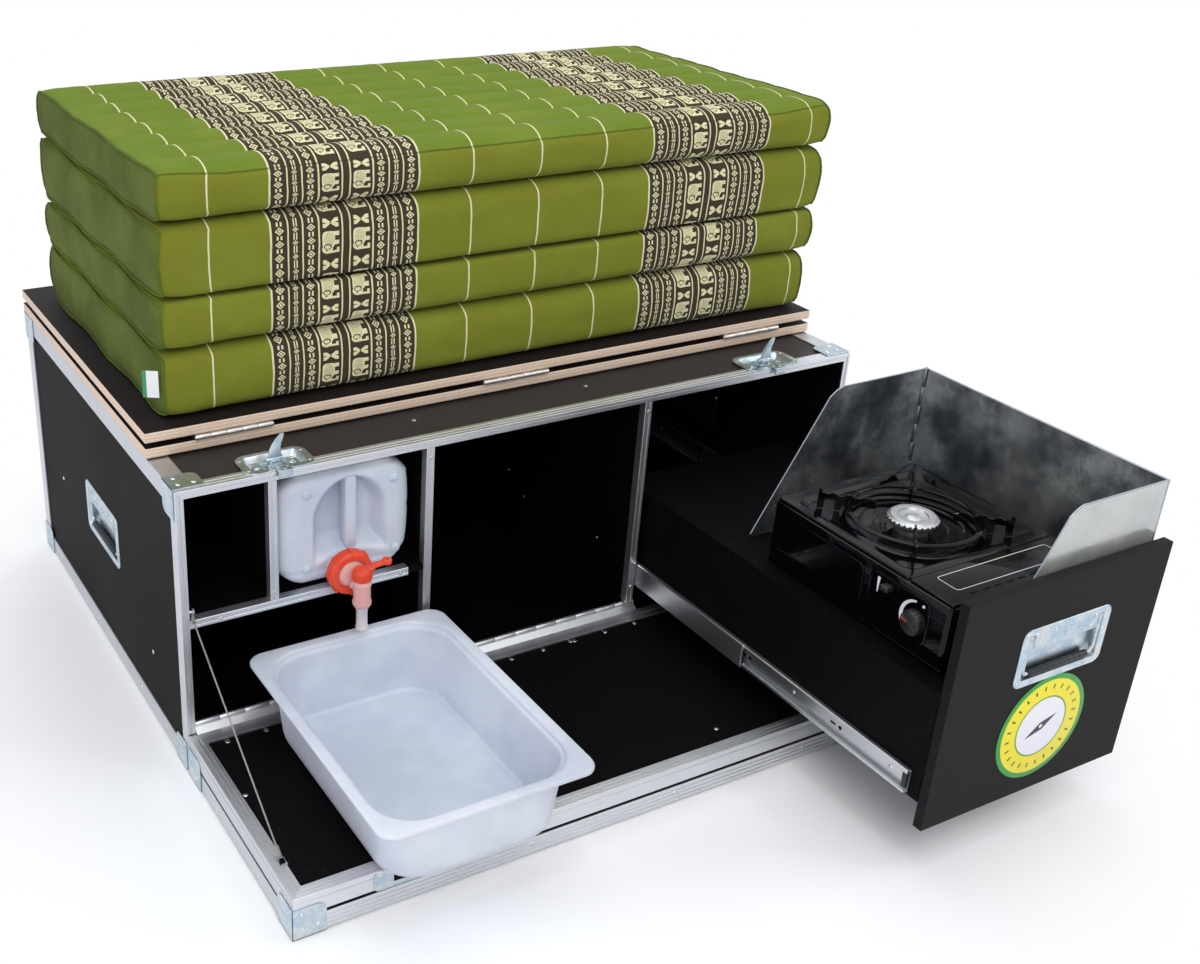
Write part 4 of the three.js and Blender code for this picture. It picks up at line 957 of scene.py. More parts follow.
class Paints:
    """The finishes in use."""

    film = FilmPly("film_outside", paint("2e2a29"), 0.42)
    # Near-black film of the inside boards, the flap and the drawer box: partly their own colour, partly painted shade
    # of the insides. Its patches also stand for holes, slots, vents and recesses: painted shade.
    inner = FilmPly("film_dark_and_shade", paint("080709"), 0.5, 0.06)
    front = FilmPly("film_front", paint("252322"), 0.5, 0.08)
    board = FilmPly("film_board", paint("1a1514"), 0.5, 0.15)
    edge = FilmPly("ply_edge", paint("141315"), 0.4, 0.1)
    alu_x = Brushed("aluminium_x", paint("eceef2"), Axis.X, 0.3, 0.08)
    alu_y = Brushed("aluminium_y", paint("dcdee2"), Axis.Y, 0.32, 0.08)
    alu_z = Brushed("aluminium_z", paint("e4e6ea"), Axis.Z, 0.3, 0.08)
    zinc = Zinc("zinc_plate")
    rivet = Zinc("zinc_rivet", paint("c9d2d6"), paint("e2e2da"), 0.2)
    steel_y = Brushed("steel_y", paint("dfe2e6"), Axis.Y, 0.24, 0.15)
    steel_x = Brushed("steel_x", paint("e4e3df"), Axis.X, 0.26, 0.15)
    rubber = Rubber("rubber_grip")
    plastic = Rubber("black_plastic", paint("121215"), 0.34)
    birch_low = BirchEdge("birch_lower", 0.4623)
    birch_high = BirchEdge("birch_upper", 0.4856)
    tub = Moulded("milky_tub", paint("d9dee8"), paint("c1c8d5"))
    canister = Moulded("milky_canister", paint("ced4de"), paint("b8bfd0"), 0.34, 0.2)
    red = Moulded("red_plastic", paint("ef5330"), paint("d83c22"), 0.3, 0.05)
    rose = Moulded("rose_plastic", paint("f0c3bd"), paint("e0a29c"), 0.24, 0.25)
    clear = Moulded("spout_plastic", paint("e6d9da"), paint("d3c3c6"), 0.24, 0.25)
    enamel = Enamel("enamel")
    casting = Brushed("burner_casting", paint("cfd0d2"), Axis.Z, 0.34, 0.2)
    sheet = Aluminised("aluminised_sheet")
    plain_sheet = Aluminised("plain_sheet", paint("c6c8c3"), paint("b3b7b6"), 0.5)
    hem = Brushed("sheet_hem", paint("b9c0cc"), Axis.Y, 0.26, 0.3)
    strand = Strand("wire_strand")
    white = Moulded("printed_white", paint("e9e9ec"), paint("d8d8dc"), 0.45, 0.0)
    mark = Moulded("red_mark", paint("e2452f"), paint("c93a27"), 0.4, 0.0)


# Mattress


@dataclass(frozen=True)
class PatternCloth(Finish):
    """Green cotton with two brown bands of cream figures and thin cream lines, read from the cloth map.

    Args:
        middle: Where the pattern is mirrored, along the segment.
        band: Distance from there to the middle of a band.
        pitch: Length of one flower and one elephant.
        half: Half the width of a band.
        outer: Distance of the outermost line from the middle.
    """

    middle: float = 636.2
    band: float = 320.5
    pitch: float = 72.0
    half: float = 116.0
    outer: float = 526.4
    # Front and top greens of the one cloth: painted light and shade of its front and its top.
    front: Colour = paint("7e832b")
    top: Colour = paint("71862e")
    brown: Colour = paint("3f372c")
    cream: Colour = paint("e4dfb2")

    @staticmethod
    def ring(value: Val, middle: float, half: float) -> Val:
        """One where a value lies within half of a middle."""
        return abs(value - middle) < half

    def elephant(self, along: Val, up: Val) -> Val:
        """Mask of an elephant in millimetres.

        Args:
            along: Distance towards its head.
            up: Distance towards its back.

        Returns:
            One inside it.
        """

        def oval(x: float, y: float, rx: float, ry: float) -> Val:
            """One inside an ellipse."""
            return (((along - x) / rx) ** 2.0 + ((up - y) / ry) ** 2.0) < 1.0

        def bar(x0: float, x1: float, y0: float, y1: float) -> Val:
            """One inside a rectangle."""
            return self.ring(along, (x0 + x1) / 2, (x1 - x0) / 2) & self.ring(up, (y0 + y1) / 2, (y1 - y0) / 2)

        body = ((along + 5.0) / 15.5) ** 4.0 + ((up - 3.0) / 8.4) ** 4.0 < 1.0
        body = body | bar(-19.5, -11.5, -11.0, 3.0) | bar(-2.5, 5.5, -11.0, 3.0)
        trunk = bar(15.0, 19.0, -9.5, 5.0) | bar(10.5, 19.0, -11.5, -8.0)
        head = oval(11.5, 4.5, 8.0, 7.2)
        ear = oval(8.2, 4.2, 4.8, 5.2) & (oval(8.6, 4.2, 3.3, 3.8) < 0.5)
        eye = oval(14.6, 5.6, 1.2, 1.2)
        weave = ((along * 1.9).sin() * (up * 2.3).sin() > 0.5) & oval(-5.0, 2.5, 14.0, 6.6)
        tusk = bar(9.0, 15.5, -3.5, -2.4)
        return ((body | trunk | head) - (ear | eye | weave | tusk)) > 0.5

    def figures(self, u: Val, v: Val) -> tuple[Val, Val]:
        """Masks of the brown band and of what is cream.

        Args:
            u: Distance along the segment in millimetres.
            v: Distance round it in millimetres.

        Returns:
            The brown mask and the cream mask.
        """
        from_middle = u - self.middle
        side = from_middle > 0.0
        across = from_middle + self.band - side * (2 * self.band)
        far = abs(across)
        brown = far < self.half
        lines = self.ring(far, self.half - 0.8, 1.5) | self.ring(far, 89.0, 1.1) | self.ring(far, 66.8, 1.1)
        lines = lines | self.ring(far, 42.2, 1.3) | self.ring(far, 6.2, 1.2)
        outside = abs(from_middle)
        lines = lines | self.ring(outside, self.half + 0.4, 1.3) | self.ring(outside, self.outer, 1.3) | (outside < 1.3)

        def chain(centre: float, period: float, size: float) -> Val:
            """Draws a row of lozenges along both sides of a band.

            Args:
                centre: Their distance from the middle of the band.
                period: Length from one to the next.
                size: Half the width of one.

            Returns:
                One on them.
            """
            q = abs(far - centre)
            p = abs((v % period) - period / 2)
            lozenge = (q + p < size) & (((q + p > size * 0.36) & (q + p < size * 0.6)) < 0.5)
            rails = self.ring(q, size * 0.42, size * 0.2) & (p > size * 1.2)
            return (lozenge | rails) & (q < size)

        marks = chain(54.6, self.pitch / 3, 6.6) | chain(102.2, self.pitch / 3, 7.0) | chain(78.0, self.pitch / 3, 4.6)
        column = across - ((across > 0.0) * 48.4 - 24.2)
        inside = abs(column) < 15.6
        along = (v * -1.0) % self.pitch
        flower_u, flower_v = abs(column), abs(along - 8.0)
        petal = abs(flower_v - flower_u * 0.58) < (flower_u * 0.36 + 1.2)
        flower = petal & (flower_u < 12.0) & (flower_v < 8.2) & (flower_u + flower_v > 1.6)
        animal = self.elephant((along - 43.0) * 1.02, column * -0.86)
        return brown, lines | ((marks | ((flower | animal) & inside)) & brown)

    def shade(self, g: Graph) -> None:
        """Builds the node tree.

        Args:
            g: Graph of the material.
        """
        cloth, place = g.cloth(), g.place()
        across, round_it, _ = g.parts(cloth)[:3]
        drift = g.noise(place, 22.0, 2.0) - 0.5
        u = across * 1000.0 + drift * 2.2
        v = round_it * 1000.0 + drift * 1.6
        brown, cream = self.figures(u, v)
        warp = ((across * 7200.0).sin() * (round_it * 7200.0).sin())
        slub = g.noise(g.stretch(cloth, (40.0, 900.0, 1.0)), 2.0, 3.0, 0.7)
        weft = g.noise(g.stretch(cloth, (900.0, 40.0, 1.0)), 2.0, 3.0, 0.7)
        cloud = g.noise(place, 11.0, 4.0, 0.6)
        fuzz = g.noise(place, 260.0, 3.0, 0.7)
        # The front green turns to the top green past the top front seam: painted light and shade of the two sides of
        # one cloth.
        shaded = (round_it * 1000.0).span(-6.0, 4.0)
        green = g.mix(shaded, self.front, self.top)
        green = g.mix((slub * 0.5 + weft * 0.5).span(0.3, 0.7) * 0.28, green, paint("4f5c1a"))
        green = g.mix(cloud.span(0.42, 0.75) * 0.3, green, paint("87953c"))
        dark = g.mix(fuzz * 0.5, self.brown, toned(self.brown, 1.5))
        thread = g.mix(fuzz.span(0.45, 0.75) * 0.45, self.cream, paint("a9a274"))
        base = g.mix(brown, green, dark)
        base = g.mix(cream, base, thread)
        # Darker along the top front seam: painted shade of the seam's crease, which the bump also sinks.
        seam = abs(v).span(0.4, 2.4, 1.0, 0.0)
        base = g.mix(seam * 0.55, base, paint("33351a"))
        g.surface(Base_Color=base, Roughness=0.82 + fuzz * 0.14, Specular_IOR_Level=0.06, Sheen_Weight=0.03)
        g.bump(warp * 0.2 + (slub + weft) * 0.4 + cream * 0.5 + fuzz * 0.5 - seam * 1.4, 0.0007, 0.65)


@dataclass(frozen=True)
class PlainCloth(Finish):
    """The plain darker cotton of the ends and piping."""

    tone: Colour = paint("4e5820")
    light: Colour = paint("616c30")

    def shade(self, g: Graph) -> None:
        """Builds the node tree.

        Args:
            g: Graph of the material.
        """
        place = g.place()
        slub = g.noise(g.stretch(place, (900.0, 60.0, 900.0)), 1.0, 3.0, 0.7)
        rise = g.noise(g.stretch(place, (900.0, 900.0, 60.0)), 1.0, 3.0, 0.7)
        cloud = g.noise(place, 9.0, 4.0, 0.6)
        fuzz = g.noise(place, 300.0, 3.0, 0.7)
        base = g.mix(cloud.span(0.3, 0.7), self.tone, self.light)
        base = g.mix((slub * 0.5 + rise * 0.5).span(0.35, 0.7) * 0.3, base, paint("37491e"))
        g.surface(Base_Color=base, Roughness=0.84 + fuzz * 0.12, Specular_IOR_Level=0.06, Sheen_Weight=0.03)
        g.bump((slub + rise) * 0.5 + fuzz * 0.5, 0.0007, 0.65)


@dataclass(frozen=True)
class TagCloth(Finish):
    """White woven tag with a green edge and no print."""

    edge: float = 594.0

    def shade(self, g: Graph) -> None:
        """Builds the node tree.

        Args:
            g: Graph of the material.
        """
        place = g.place()
        y = g.parts(place)[1] * 1000.0 + ORIGIN.y
        weave = g.noise(g.stretch(place, (60.0, 900.0, 900.0)), 2.0, 2.0)
        base = g.mix(y > self.edge, paint("e6e8ea"), paint("2f8a5c"))
        base = g.mix(weave * 0.15, base, paint("a8adb2"))
        g.surface(Base_Color=base, Roughness=0.8 + weave * 0.1)
        g.bump(weave, 0.0002, 0.5)


class Fold(Enum):
    """How an edge of a segment meets its neighbour."""

    OPEN = 0
    SEWN = 1


@dataclass
class Segment:
    """One stuffed segment of the mattress.

    Args:
        level: Place in the stack, one at the top.
        body: CAD body that it rides.
        low: Height of its underside.
        high: Height of its top.
        left: Where it starts along X.
        right: Where it stops.
        above_front: How its front edge meets what lies above.
        below_front: How its front edge meets what lies below.
    """

    level: int
    body: str
    low: float
    high: float
    left: float
    right: float
    above_front: Fold
    below_front: Fold

    FRONT = 129.0
    BACK = 712.0
    CHANNELS = 8
    GRID = (125, 79, 11)

    def drop(self, x: float, y: float, top: bool) -> float:
        """How far the surface lies below its highest level.

        Args:
            x: Distance from the left end.
            y: Distance from the front.
            top: Whether it is the upper surface.

        Returns:
            The drop in millimetres.
        """
        depth, length = self.BACK - self.FRONT, self.right - self.left
        end = min(x, length - x)
        fade = 0.12 + 0.88 * min(1.0, max(0.0, end - 8.0) / 95.0) ** 0.8
        wave = abs(math.sin(math.pi * self.CHANNELS * y / depth)) ** 0.62
        rise = (11.0 if top and self.level == 1 else 8.0) * fade
        front = self.above_front if top else self.below_front
        back = Fold.OPEN if front is Fold.SEWN else Fold.SEWN
        if self.level == 1 and top or self.level == 4 and not top:
            back = Fold.OPEN
        edge = 0.0
        for gap, joint in ((y, front), (depth - y, back)):
            reach = 26.0 if joint is Fold.OPEN else 12.0
            deep = 4.0 if joint is Fold.OPEN else 2.0
            if gap < reach:
                edge += deep * (1 - gap / reach) ** 2
                rise *= 0.35 + 0.65 * gap / reach if joint is Fold.SEWN else 1.0
        round_end = 5.0 * (1 - min(1.0, end / 60.0)) ** 2.4
        return rise * (1 - wave) + edge + round_end

    def bend(self, at: Vector) -> Vector:
        """Moves a point of the plain block onto the stuffed shape.

        Args:
            at: The point.

        Returns:
            Where it goes.
        """
        x, y, z = at.x - self.left, at.y - self.FRONT, at.z
        depth, length = self.BACK - self.FRONT, self.right - self.left
        middle, half = (self.low + self.high) / 2, (self.high - self.low) / 2
        t = (z - middle) / half
        top = t >= 0
        room = half - self.drop(x, y, top)
        swell = max(0.0, 1 - t * t) ** 0.62
        joint = self.above_front if top else self.below_front
        inset = 6.0 if joint is Fold.OPEN else 4.0
        other = 5.0 if joint is Fold.OPEN and not (self.level == 1 and top) else 9.0
        share = y / depth
        lean = (-(swell - 1) * inset) * (1 - share) ** 3 + ((swell - 1) * other) * share ** 3
        along = x / length
        tuck = 4.5 + 2.5 * math.sin(y / 37.0 + self.level)
        pull = (1 - swell) * tuck + 1.5
        shift = pull * (1 - along) ** 9 - pull * along ** 9
        corner = math.exp(-min(y, depth - y) / 22.0) * math.exp(-min(x, length - x) / 22.0)
        shift += corner * 5.0 * (1 if along < 0.5 else -1)
        lean += corner * 3.0 * (1 if share < 0.5 else -1)
        seat = Vector((at.x * 0.012, at.y * 0.012, at.z * 0.02 + self.level * 7.3))
        soft = noise.noise(seat) * 2.0
        near = math.exp(-min(y, depth - y, abs(half - abs(z - middle)) * 0.6 + 4) / 14.0)
        crimp = noise.noise(Vector((at.x * 0.055, at.y * 0.06, self.level * 3.1 + at.z * 0.03)))
        wrinkle = crimp * 1.8 * near
        rise = middle + t * (room + min(0.0, soft * 0.5 * abs(t)))
        ripple = 0.0
        if share in (0.0, 1.0):
            ripple = (wrinkle - soft * 0.7) * (1 if share > 0.5 else -1) * (1 - abs(t) ** 4)
        return Vector((at.x + shift, at.y + lean + ripple, rise + wrinkle * 0.4 * (1 if top else -1) * abs(t)))

    def map_cloth(self, solid: Solid) -> None:
        """Unrolls the cloth: along X, and from the top front seam back or down.

        Args:
            solid: The block, before it is bent.
        """
        layer = solid.bm.loops.layers.uv.new(Mattress.MAP)
        start = Mattress.STARTS[self.level]
        for face in solid.bm.faces:
            normal = face.normal
            face.material_index = 1 if abs(normal.x) > 0.5 else 0
            for loop in face.loops:
                x, y, z = loop.vert.co
                if abs(normal.z) > 0.5:
                    way = y - self.FRONT if normal.z > 0 else self.low - self.high - (y - self.FRONT)
                else:
                    way = z - self.high if normal.y < 0 else self.BACK - self.FRONT + self.high - z
                loop[layer].uv = (x * SCALE, (way - start) * SCALE)

    def piping(self, solid: Solid) -> None:
        """Adds the raised seams round both ends and down the corners.

        Args:
            solid: Where they are made.
        """
        for x in (self.left, self.right):
            out = -1.0 if x == self.left else 1.0
            loop = []
            corners = [(self.FRONT, self.high), (self.BACK, self.high), (self.BACK, self.low), (self.FRONT, self.low)]
            for (y0, z0), (y1, z1) in zip(corners, corners[1:] + corners[:1]):
                count = 64 if y0 != y1 else 10
                for i in range(count):
                    s = i / count
                    at = self.bend(Vector((x, y0 + (y1 - y0) * s, z0 + (z1 - z0) * s)))
                    jog = noise.noise(Vector((at.y * 0.08, at.z * 0.08, self.level))) * 0.8
                    loop.append(at + Vector((out * (0.7 + jog), 0.0, 0.0)))
            solid.sweep(loop + loop[:1], [1.8 + 0.4 * noise.noise(p * 0.05) for p in loop + loop[:1]], sides=6,
                        slot=2)

    def build(self) -> bpy.types.Object:
        """Builds the segment.

        Returns:
            The piece.
        """
        solid = Solid()
        solid.grid((self.left, self.FRONT, self.low), (self.right, self.BACK, self.high), self.GRID)
        solid.bm.normal_update()
        self.map_cloth(solid)
        for vert in solid.bm.verts:
            vert.co = self.bend(vert.co)
        self.piping(solid)
        made = solid.piece(f"mattress_{self.level}", self.body, [Mattress.pattern, Mattress.plain, Mattress.cord],
                           [f"mattress_segment_{self.level}"], "cotton", angle=75.0)
        return made


@dataclass
class Mattress:
    """Four segments folded in a zigzag on the bed boards, with a tag on the lowest."""

    MAP = "cloth"
    STARTS = {1: 0.0, 2: 716.0, 3: 754.0, 4: 764.0}
    pattern = PatternCloth("pattern_cloth")
    plain = PlainCloth("plain_cloth")
    cord = PlainCloth("piping_cloth", paint("48591f"), paint("5d7029"))
    segments: list[Segment] = field(default_factory=lambda: [
        Segment(4, "mattress_base", 500.9, 599.7, 33.0, 1194.0, Fold.OPEN, Fold.OPEN),
        Segment(3, "mattress_third", 600.3, 677.0, 33.0, 1201.0, Fold.SEWN, Fold.OPEN),
        Segment(2, "mattress_second", 677.6, 780.2, 34.0, 1204.0, Fold.OPEN, Fold.SEWN),
        Segment(1, "mattress_top", 780.8, 858.7, 35.0, 1207.5, Fold.OPEN, Fold.OPEN),
    ])

    def tag(self) -> None:
        """Adds the blank woven tag on the left end of the lowest segment."""
        solid = Solid()
        with solid.at(spot(33.0, 137.0, 0.0) @ Matrix.Rotation(math.radians(58.0), 4, "Z")):
            solid.box((0.0, 0.0, 538.0), (0.7, 23.0, 578.0), 0.2, 1)
        made = solid.piece("mattress_tag", "mattress_base", [TagCloth("tag_cloth", 146.0)])

    def build(self) -> None:
        """Builds the segments and the tag."""
        for segment in self.segments:
            segment.build()
        self.tag()


# Case


def dress(nodes: Iterable[str], finish: Finish) -> None:
    """Gives CAD nodes a finish.

    Args:
        nodes: Names of the nodes.
        finish: Their finish.
    """
    for name in nodes:
        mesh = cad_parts[name].data
        mesh.materials.clear()
        mesh.materials.append(finish.material())


@dataclass(frozen=True)
class PanelFilm(FilmPly):
    """Film whose inside faces are painted darker than its outside faces: painted shade of the case's inside.

    Args:
        deep: Tone that the inside faces are taken towards, as painted shade.
        faces: Planes in metres beyond which it is outside, to either side, to the back and to the top.
    """

    deep: Colour = paint("0d0c0e")
    faces: Point = (0.5975, 0.6985, 0.4575)

    def shade(self, g: Graph) -> None:
        """Builds the node tree.

        Args:
            g: Graph of the material.
        """
        super().shade(g)
        place = g.place()
        x, y, z = g.parts(place)[:3]
        outside = (abs(x) > self.faces[0]) | (z > self.faces[2]) | (y > self.faces[1])
        shown = g.shader.inputs["Base Color"].links[0].from_socket
        # Inside faces three quarters of the way to the deep tone: painted shade.
        g.surface(Base_Color=g.mix(outside, g.mix(0.75, Val(g, shown), self.deep), Val(g, shown)))


@dataclass
class CaseShell:
    """Panels, dividers and shelf, with the screws that show.

    Args:
        screws: Direction, radius and places of each kind.
    """

    screws: tuple[tuple[Point, float, tuple[Point, ...]], ...] = (
        ((0.0, 0.0, 1.0), 3.6, ((403.0, 77.0, 457.9), (712.0, 78.0, 457.9))),
        ((-1.0, 0.0, 0.0), 3.6, ((4.1, 150.0, 120.0), (4.1, 610.0, 205.0))),
        ((1.0, 0.0, 0.0), 3.6, ((1195.9, 150.0, 120.0), (1195.9, 610.0, 205.0))),
        ((-1.0, 0.0, 0.0), 2.6, ((776.3, 99.0, 158.0), (776.3, 387.0, 158.0), (776.3, 330.0, 128.0))),
        ((0.0, -1.0, 0.0), 2.8, ((391.0, 0.0, 431.0), (391.0, 0.0, 112.0), (142.5, 0.0, 271.0), (345.0, 0.0, 249.7),
                                 (60.0, 0.0, 249.7), (781.0, 0.0, 431.0), (781.0, 0.0, 112.0), (600.0, 753.4, 300.0),
                                 (440.0, 753.4, 215.0), (700.0, 753.4, 190.0))),
    )

    def build(self) -> None:
        """Dresses the CAD panels and adds the screws."""
        film = PanelFilm("film_panels", paint("171514"), 0.45, 0.04)
        dress(("left_panel", "right_panel", "back_panel"), film)
        dress(("top_panel",), Paints.film)
        # The base, dividers and shelf get the near-black film: partly their own colour, partly painted shade of the
        # case's inside.
        dress(("base_panel", "left_divider", "right_divider", "canister_shelf"), Paints.inner)
        solid = Solid()
        for normal, radius, seats in self.screws:
            solid.domes(seats, normal, radius, 1.1, 12)
        solid.piece("panel_screws", "case", [Paints.rivet])


@dataclass
class Profiles:
    """Aluminium profiles of the case and of the flap, with grooves along their faces.

    Args:
        wall: Thickness of a leg.
        low: Outer plane of the bottom profiles.
        high: Outer plane of the top profiles.
        left: Outer plane on the left.
        right: Outer plane on the right.
        back: Outer plane at the back.
        front: Outer plane of the open flap.
        lip: Top of the flap's rim.
    """

    wall: float = 2.0
    low: float = INSET
    high: float = HEIGHT - INSET
    left: float = INSET
    right: float = WIDTH - INSET
    back: float = DEPTH - INSET
    front: float = FLAP_FRONT
    lip: float = 65.0

    @property
    def sides(self) -> tuple[tuple[str, float, int], ...]:
        """Name, outer plane and inward direction of each side."""
        return (("left", self.left, 1), ("right", self.right, -1))

    def angle(self, corner: Point, into: Point, legs: Point, grooves: tuple[Sequence[float], Sequence[float]]
              ) -> list[Point]:
        """Outlines an L profile.

        Args:
            corner: Its outer corner.
            into: Signs of the directions in which its legs run.
            legs: Lengths of the legs.
            grooves: Middles of the grooves in each outer face, from the corner.

        Returns:
            The outline.
        """
        (p, q), (a, b), (first, second), t = corner, into, legs, self.wall
        points = [(p + a * first, q)]
        for s in sorted(grooves[0], reverse=True):
            points += [(p + a * (s + 1.3), q), (p + a * (s + 0.8), q + b * 1.1),
                       (p + a * (s - 0.8), q + b * 1.1), (p + a * (s - 1.3), q)]
        points += [(p + a * 0.8, q), (p + a * 0.24, q + b * 0.24), (p, q + b * 0.8)]
        for s in sorted(grooves[1]):
            points += [(p, q + b * (s - 1.3)), (p + a * 1.1, q + b * (s - 0.8)),
                       (p + a * 1.1, q + b * (s + 0.8)), (p, q + b * (s + 1.3))]
        points += [(p, q + b * second), (p + a * t, q + b * second), (p + a * t, q + b * t), (p + a * first, q + b * t)]
        return points

    def bar(self, name: str, body: str, axis: Axis, span: Point, outline: list[Point],
            replaces: Sequence[str] = (), cuts: Sequence[tuple[Point, Point]] = ()) -> None:
        """Builds one profile bar.

        Args:
            name: Name of the piece.
            body: CAD body.
            axis: The axis that it runs along.
            span: Where it starts and stops.
            outline: Its section.
            replaces: CAD nodes that it stands for.
            cuts: Mitres, each a point and the direction of the side that goes.
        """
        finish = {Axis.X: Paints.alu_x, Axis.Y: Paints.alu_y, Axis.Z: Paints.alu_z}[axis]
        solid = Solid()
        solid.prism(outline, axis, span[0], span[1])
        for point, beyond in cuts:
            solid.cut(point, beyond)
        solid.piece(name, body, [finish], replaces, "aluminium", angle=20.0)

    def rim(self) -> None:
        """Builds the rim round the opening."""
        low, high, left, right = self.low, self.high, self.left, self.right
        full = self.angle((0.0, high), (1, -1), (22.0, 12.0), ((7.0, 14.5), (5.0,)))
        short = self.angle((0.0, high), (1, -1), (10.4, 12.0), ((), (5.0,)))
        for n, (x0, x1) in enumerate(((left, 116.0), (116.0, 204.0), (204.0, 996.0), (996.0, 1084.0), (1084.0, right))):
            self.bar(f"rim_top_{n}", "case", Axis.X, (x0, x1), short if n % 2 else full,
                     () if n else ("front_frame",), (((left, 0, high), (-1, 0, -1)), ((right, 0, high), (1, 0, -1))))
        self.bar("rim_bottom", "case", Axis.X, (left, right),
                 self.angle((0.0, low), (1, 1), (22.0, 12.0), ((), ())), (),
                 (((left, 0, low), (-1, 0, 1)), ((right, 0, low), (1, 0, 1))))
        for side, x, a in self.sides:
            self.bar(f"rim_{side}", "case", Axis.Z, (low, high),
                     self.angle((x, 0.0), (a, 1), (12.0, 22.0), ((5.5,), (7.0, 14.5))), (),
                     (((x, 0, high), (a, 0, 1)), ((x, 0, low), (a, 0, -1))))

    def trim(self, name: str, axis: Axis, middle: float, span: Point) -> None:
        """Builds a U trim over the front edge of a divider or shelf.

        Args:
            name: Name of the piece.
            axis: The axis that it runs along.
            middle: Middle of the board that it covers.
            span: Where it starts and stops.
        """
        half, board, depth, wall = 6.55, 5.05, 15.0, 1.5
        outline = [(middle - half, depth), (middle - half, 0.6), (middle - half + 0.6, 0.0), (middle - 2.6, 0.0),
                   (middle - 2.1, 0.5), (middle + 2.1, 0.5), (middle + 2.6, 0.0), (middle + half - 0.6, 0.0),
                   (middle + half, 0.6), (middle + half, depth), (middle + board, depth), (middle + board, wall),
                   (middle - board, wall), (middle - board, depth)]
        if axis is Axis.X:
            outline = [(y, z) for z, y in outline]
        self.bar(name, "case", axis, span, outline)

    def case_edges(self) -> None:
        """Builds the long edges of the case."""
        for level, z, b, node in (("low", self.low, 1, "base_edge_frame"), ("high", self.high, -1, "top_edge_frame")):
            self.bar(f"edge_{level}_back", "case", Axis.X, (3.9, 1196.1),
                     self.angle((self.back, z), (-1, b), (30.0, 30.0), ((8.0, 22.0), (8.0, 22.0))), [node])
            for side, x, a in self.sides:
                self.bar(f"edge_{level}_{side}", "case", Axis.Y, (22.3, self.back),
                         self.angle((x, z), (a, b), (30.0, 30.0), ((), ())))
        for side, x, a in self.sides:
            self.bar(f"edge_back_{side}", "case", Axis.Z, (32.1, 458.1),
                     self.angle((x, self.back), (a, -1), (30.0, 30.0), ((), ())))

    def flap_edges(self) -> None:
        """Builds the flap's outer edges and its closing rim."""
        front, low, lip = self.front, self.low, self.lip
        ends = (((self.left, front, 0), (-1, 1, 0)), ((self.right, front, 0), (1, 1, 0)))
        self.bar("flap_edge_front", "flap", Axis.X, (self.left, self.right),
                 self.angle((front, low), (1, 1), (30.0, 28.0), ((), (7.0, 14.0, 21.0))), ["flap_edge_frame"], ends)
        for side, x, a in self.sides:
            mitre = (((x, front, 0), (a, -1, 0)),)
            self.bar(f"flap_edge_{side}", "flap", Axis.Y, (front, -2.0),
                     self.angle((x, low), (a, 1), (30.0, 28.0), ((), ())), (), mitre)
            self.bar(f"flap_rim_{side}", "flap", Axis.Y, (front, -2.0),
                     self.angle((x, lip), (a, -1), (20.0, 30.0), ((6.5, 13.0), (9.0,))), (), mitre)
        self.bar("flap_rim_front", "flap", Axis.X, (self.left, self.right),
                 self.angle((front, lip), (1, -1), (20.0, 30.0), ((6.5, 13.0), (9.0,))), ["flap_closing_frame"], ends)
        self.bar("flap_rim_back", "flap", Axis.X, (21.9, 1178.1),
                 [(-2.3, 63.0), (-2.3, lip), (-14.0, lip), (-14.6, 64.2), (-16.0, 64.2), (-16.6, lip), (-28.0, lip),
                  (-28.0, 63.0)])

    def build(self) -> None:
        """Builds every profile."""
        self.rim()
        for name, axis, middle, span in (("left_divider", Axis.Z, 391.0, (81.5, 447.9)),
                                         ("right_divider", Axis.Z, 781.05, (81.5, 447.9)),
                                         ("canister_divider", Axis.Z, 142.55, (256.3, 447.9)),
                                         ("shelf", Axis.X, 249.75, (13.9, 358.0))):
            self.trim(f"trim_{name}", axis, middle, span)
        self.case_edges()
        self.flap_edges()


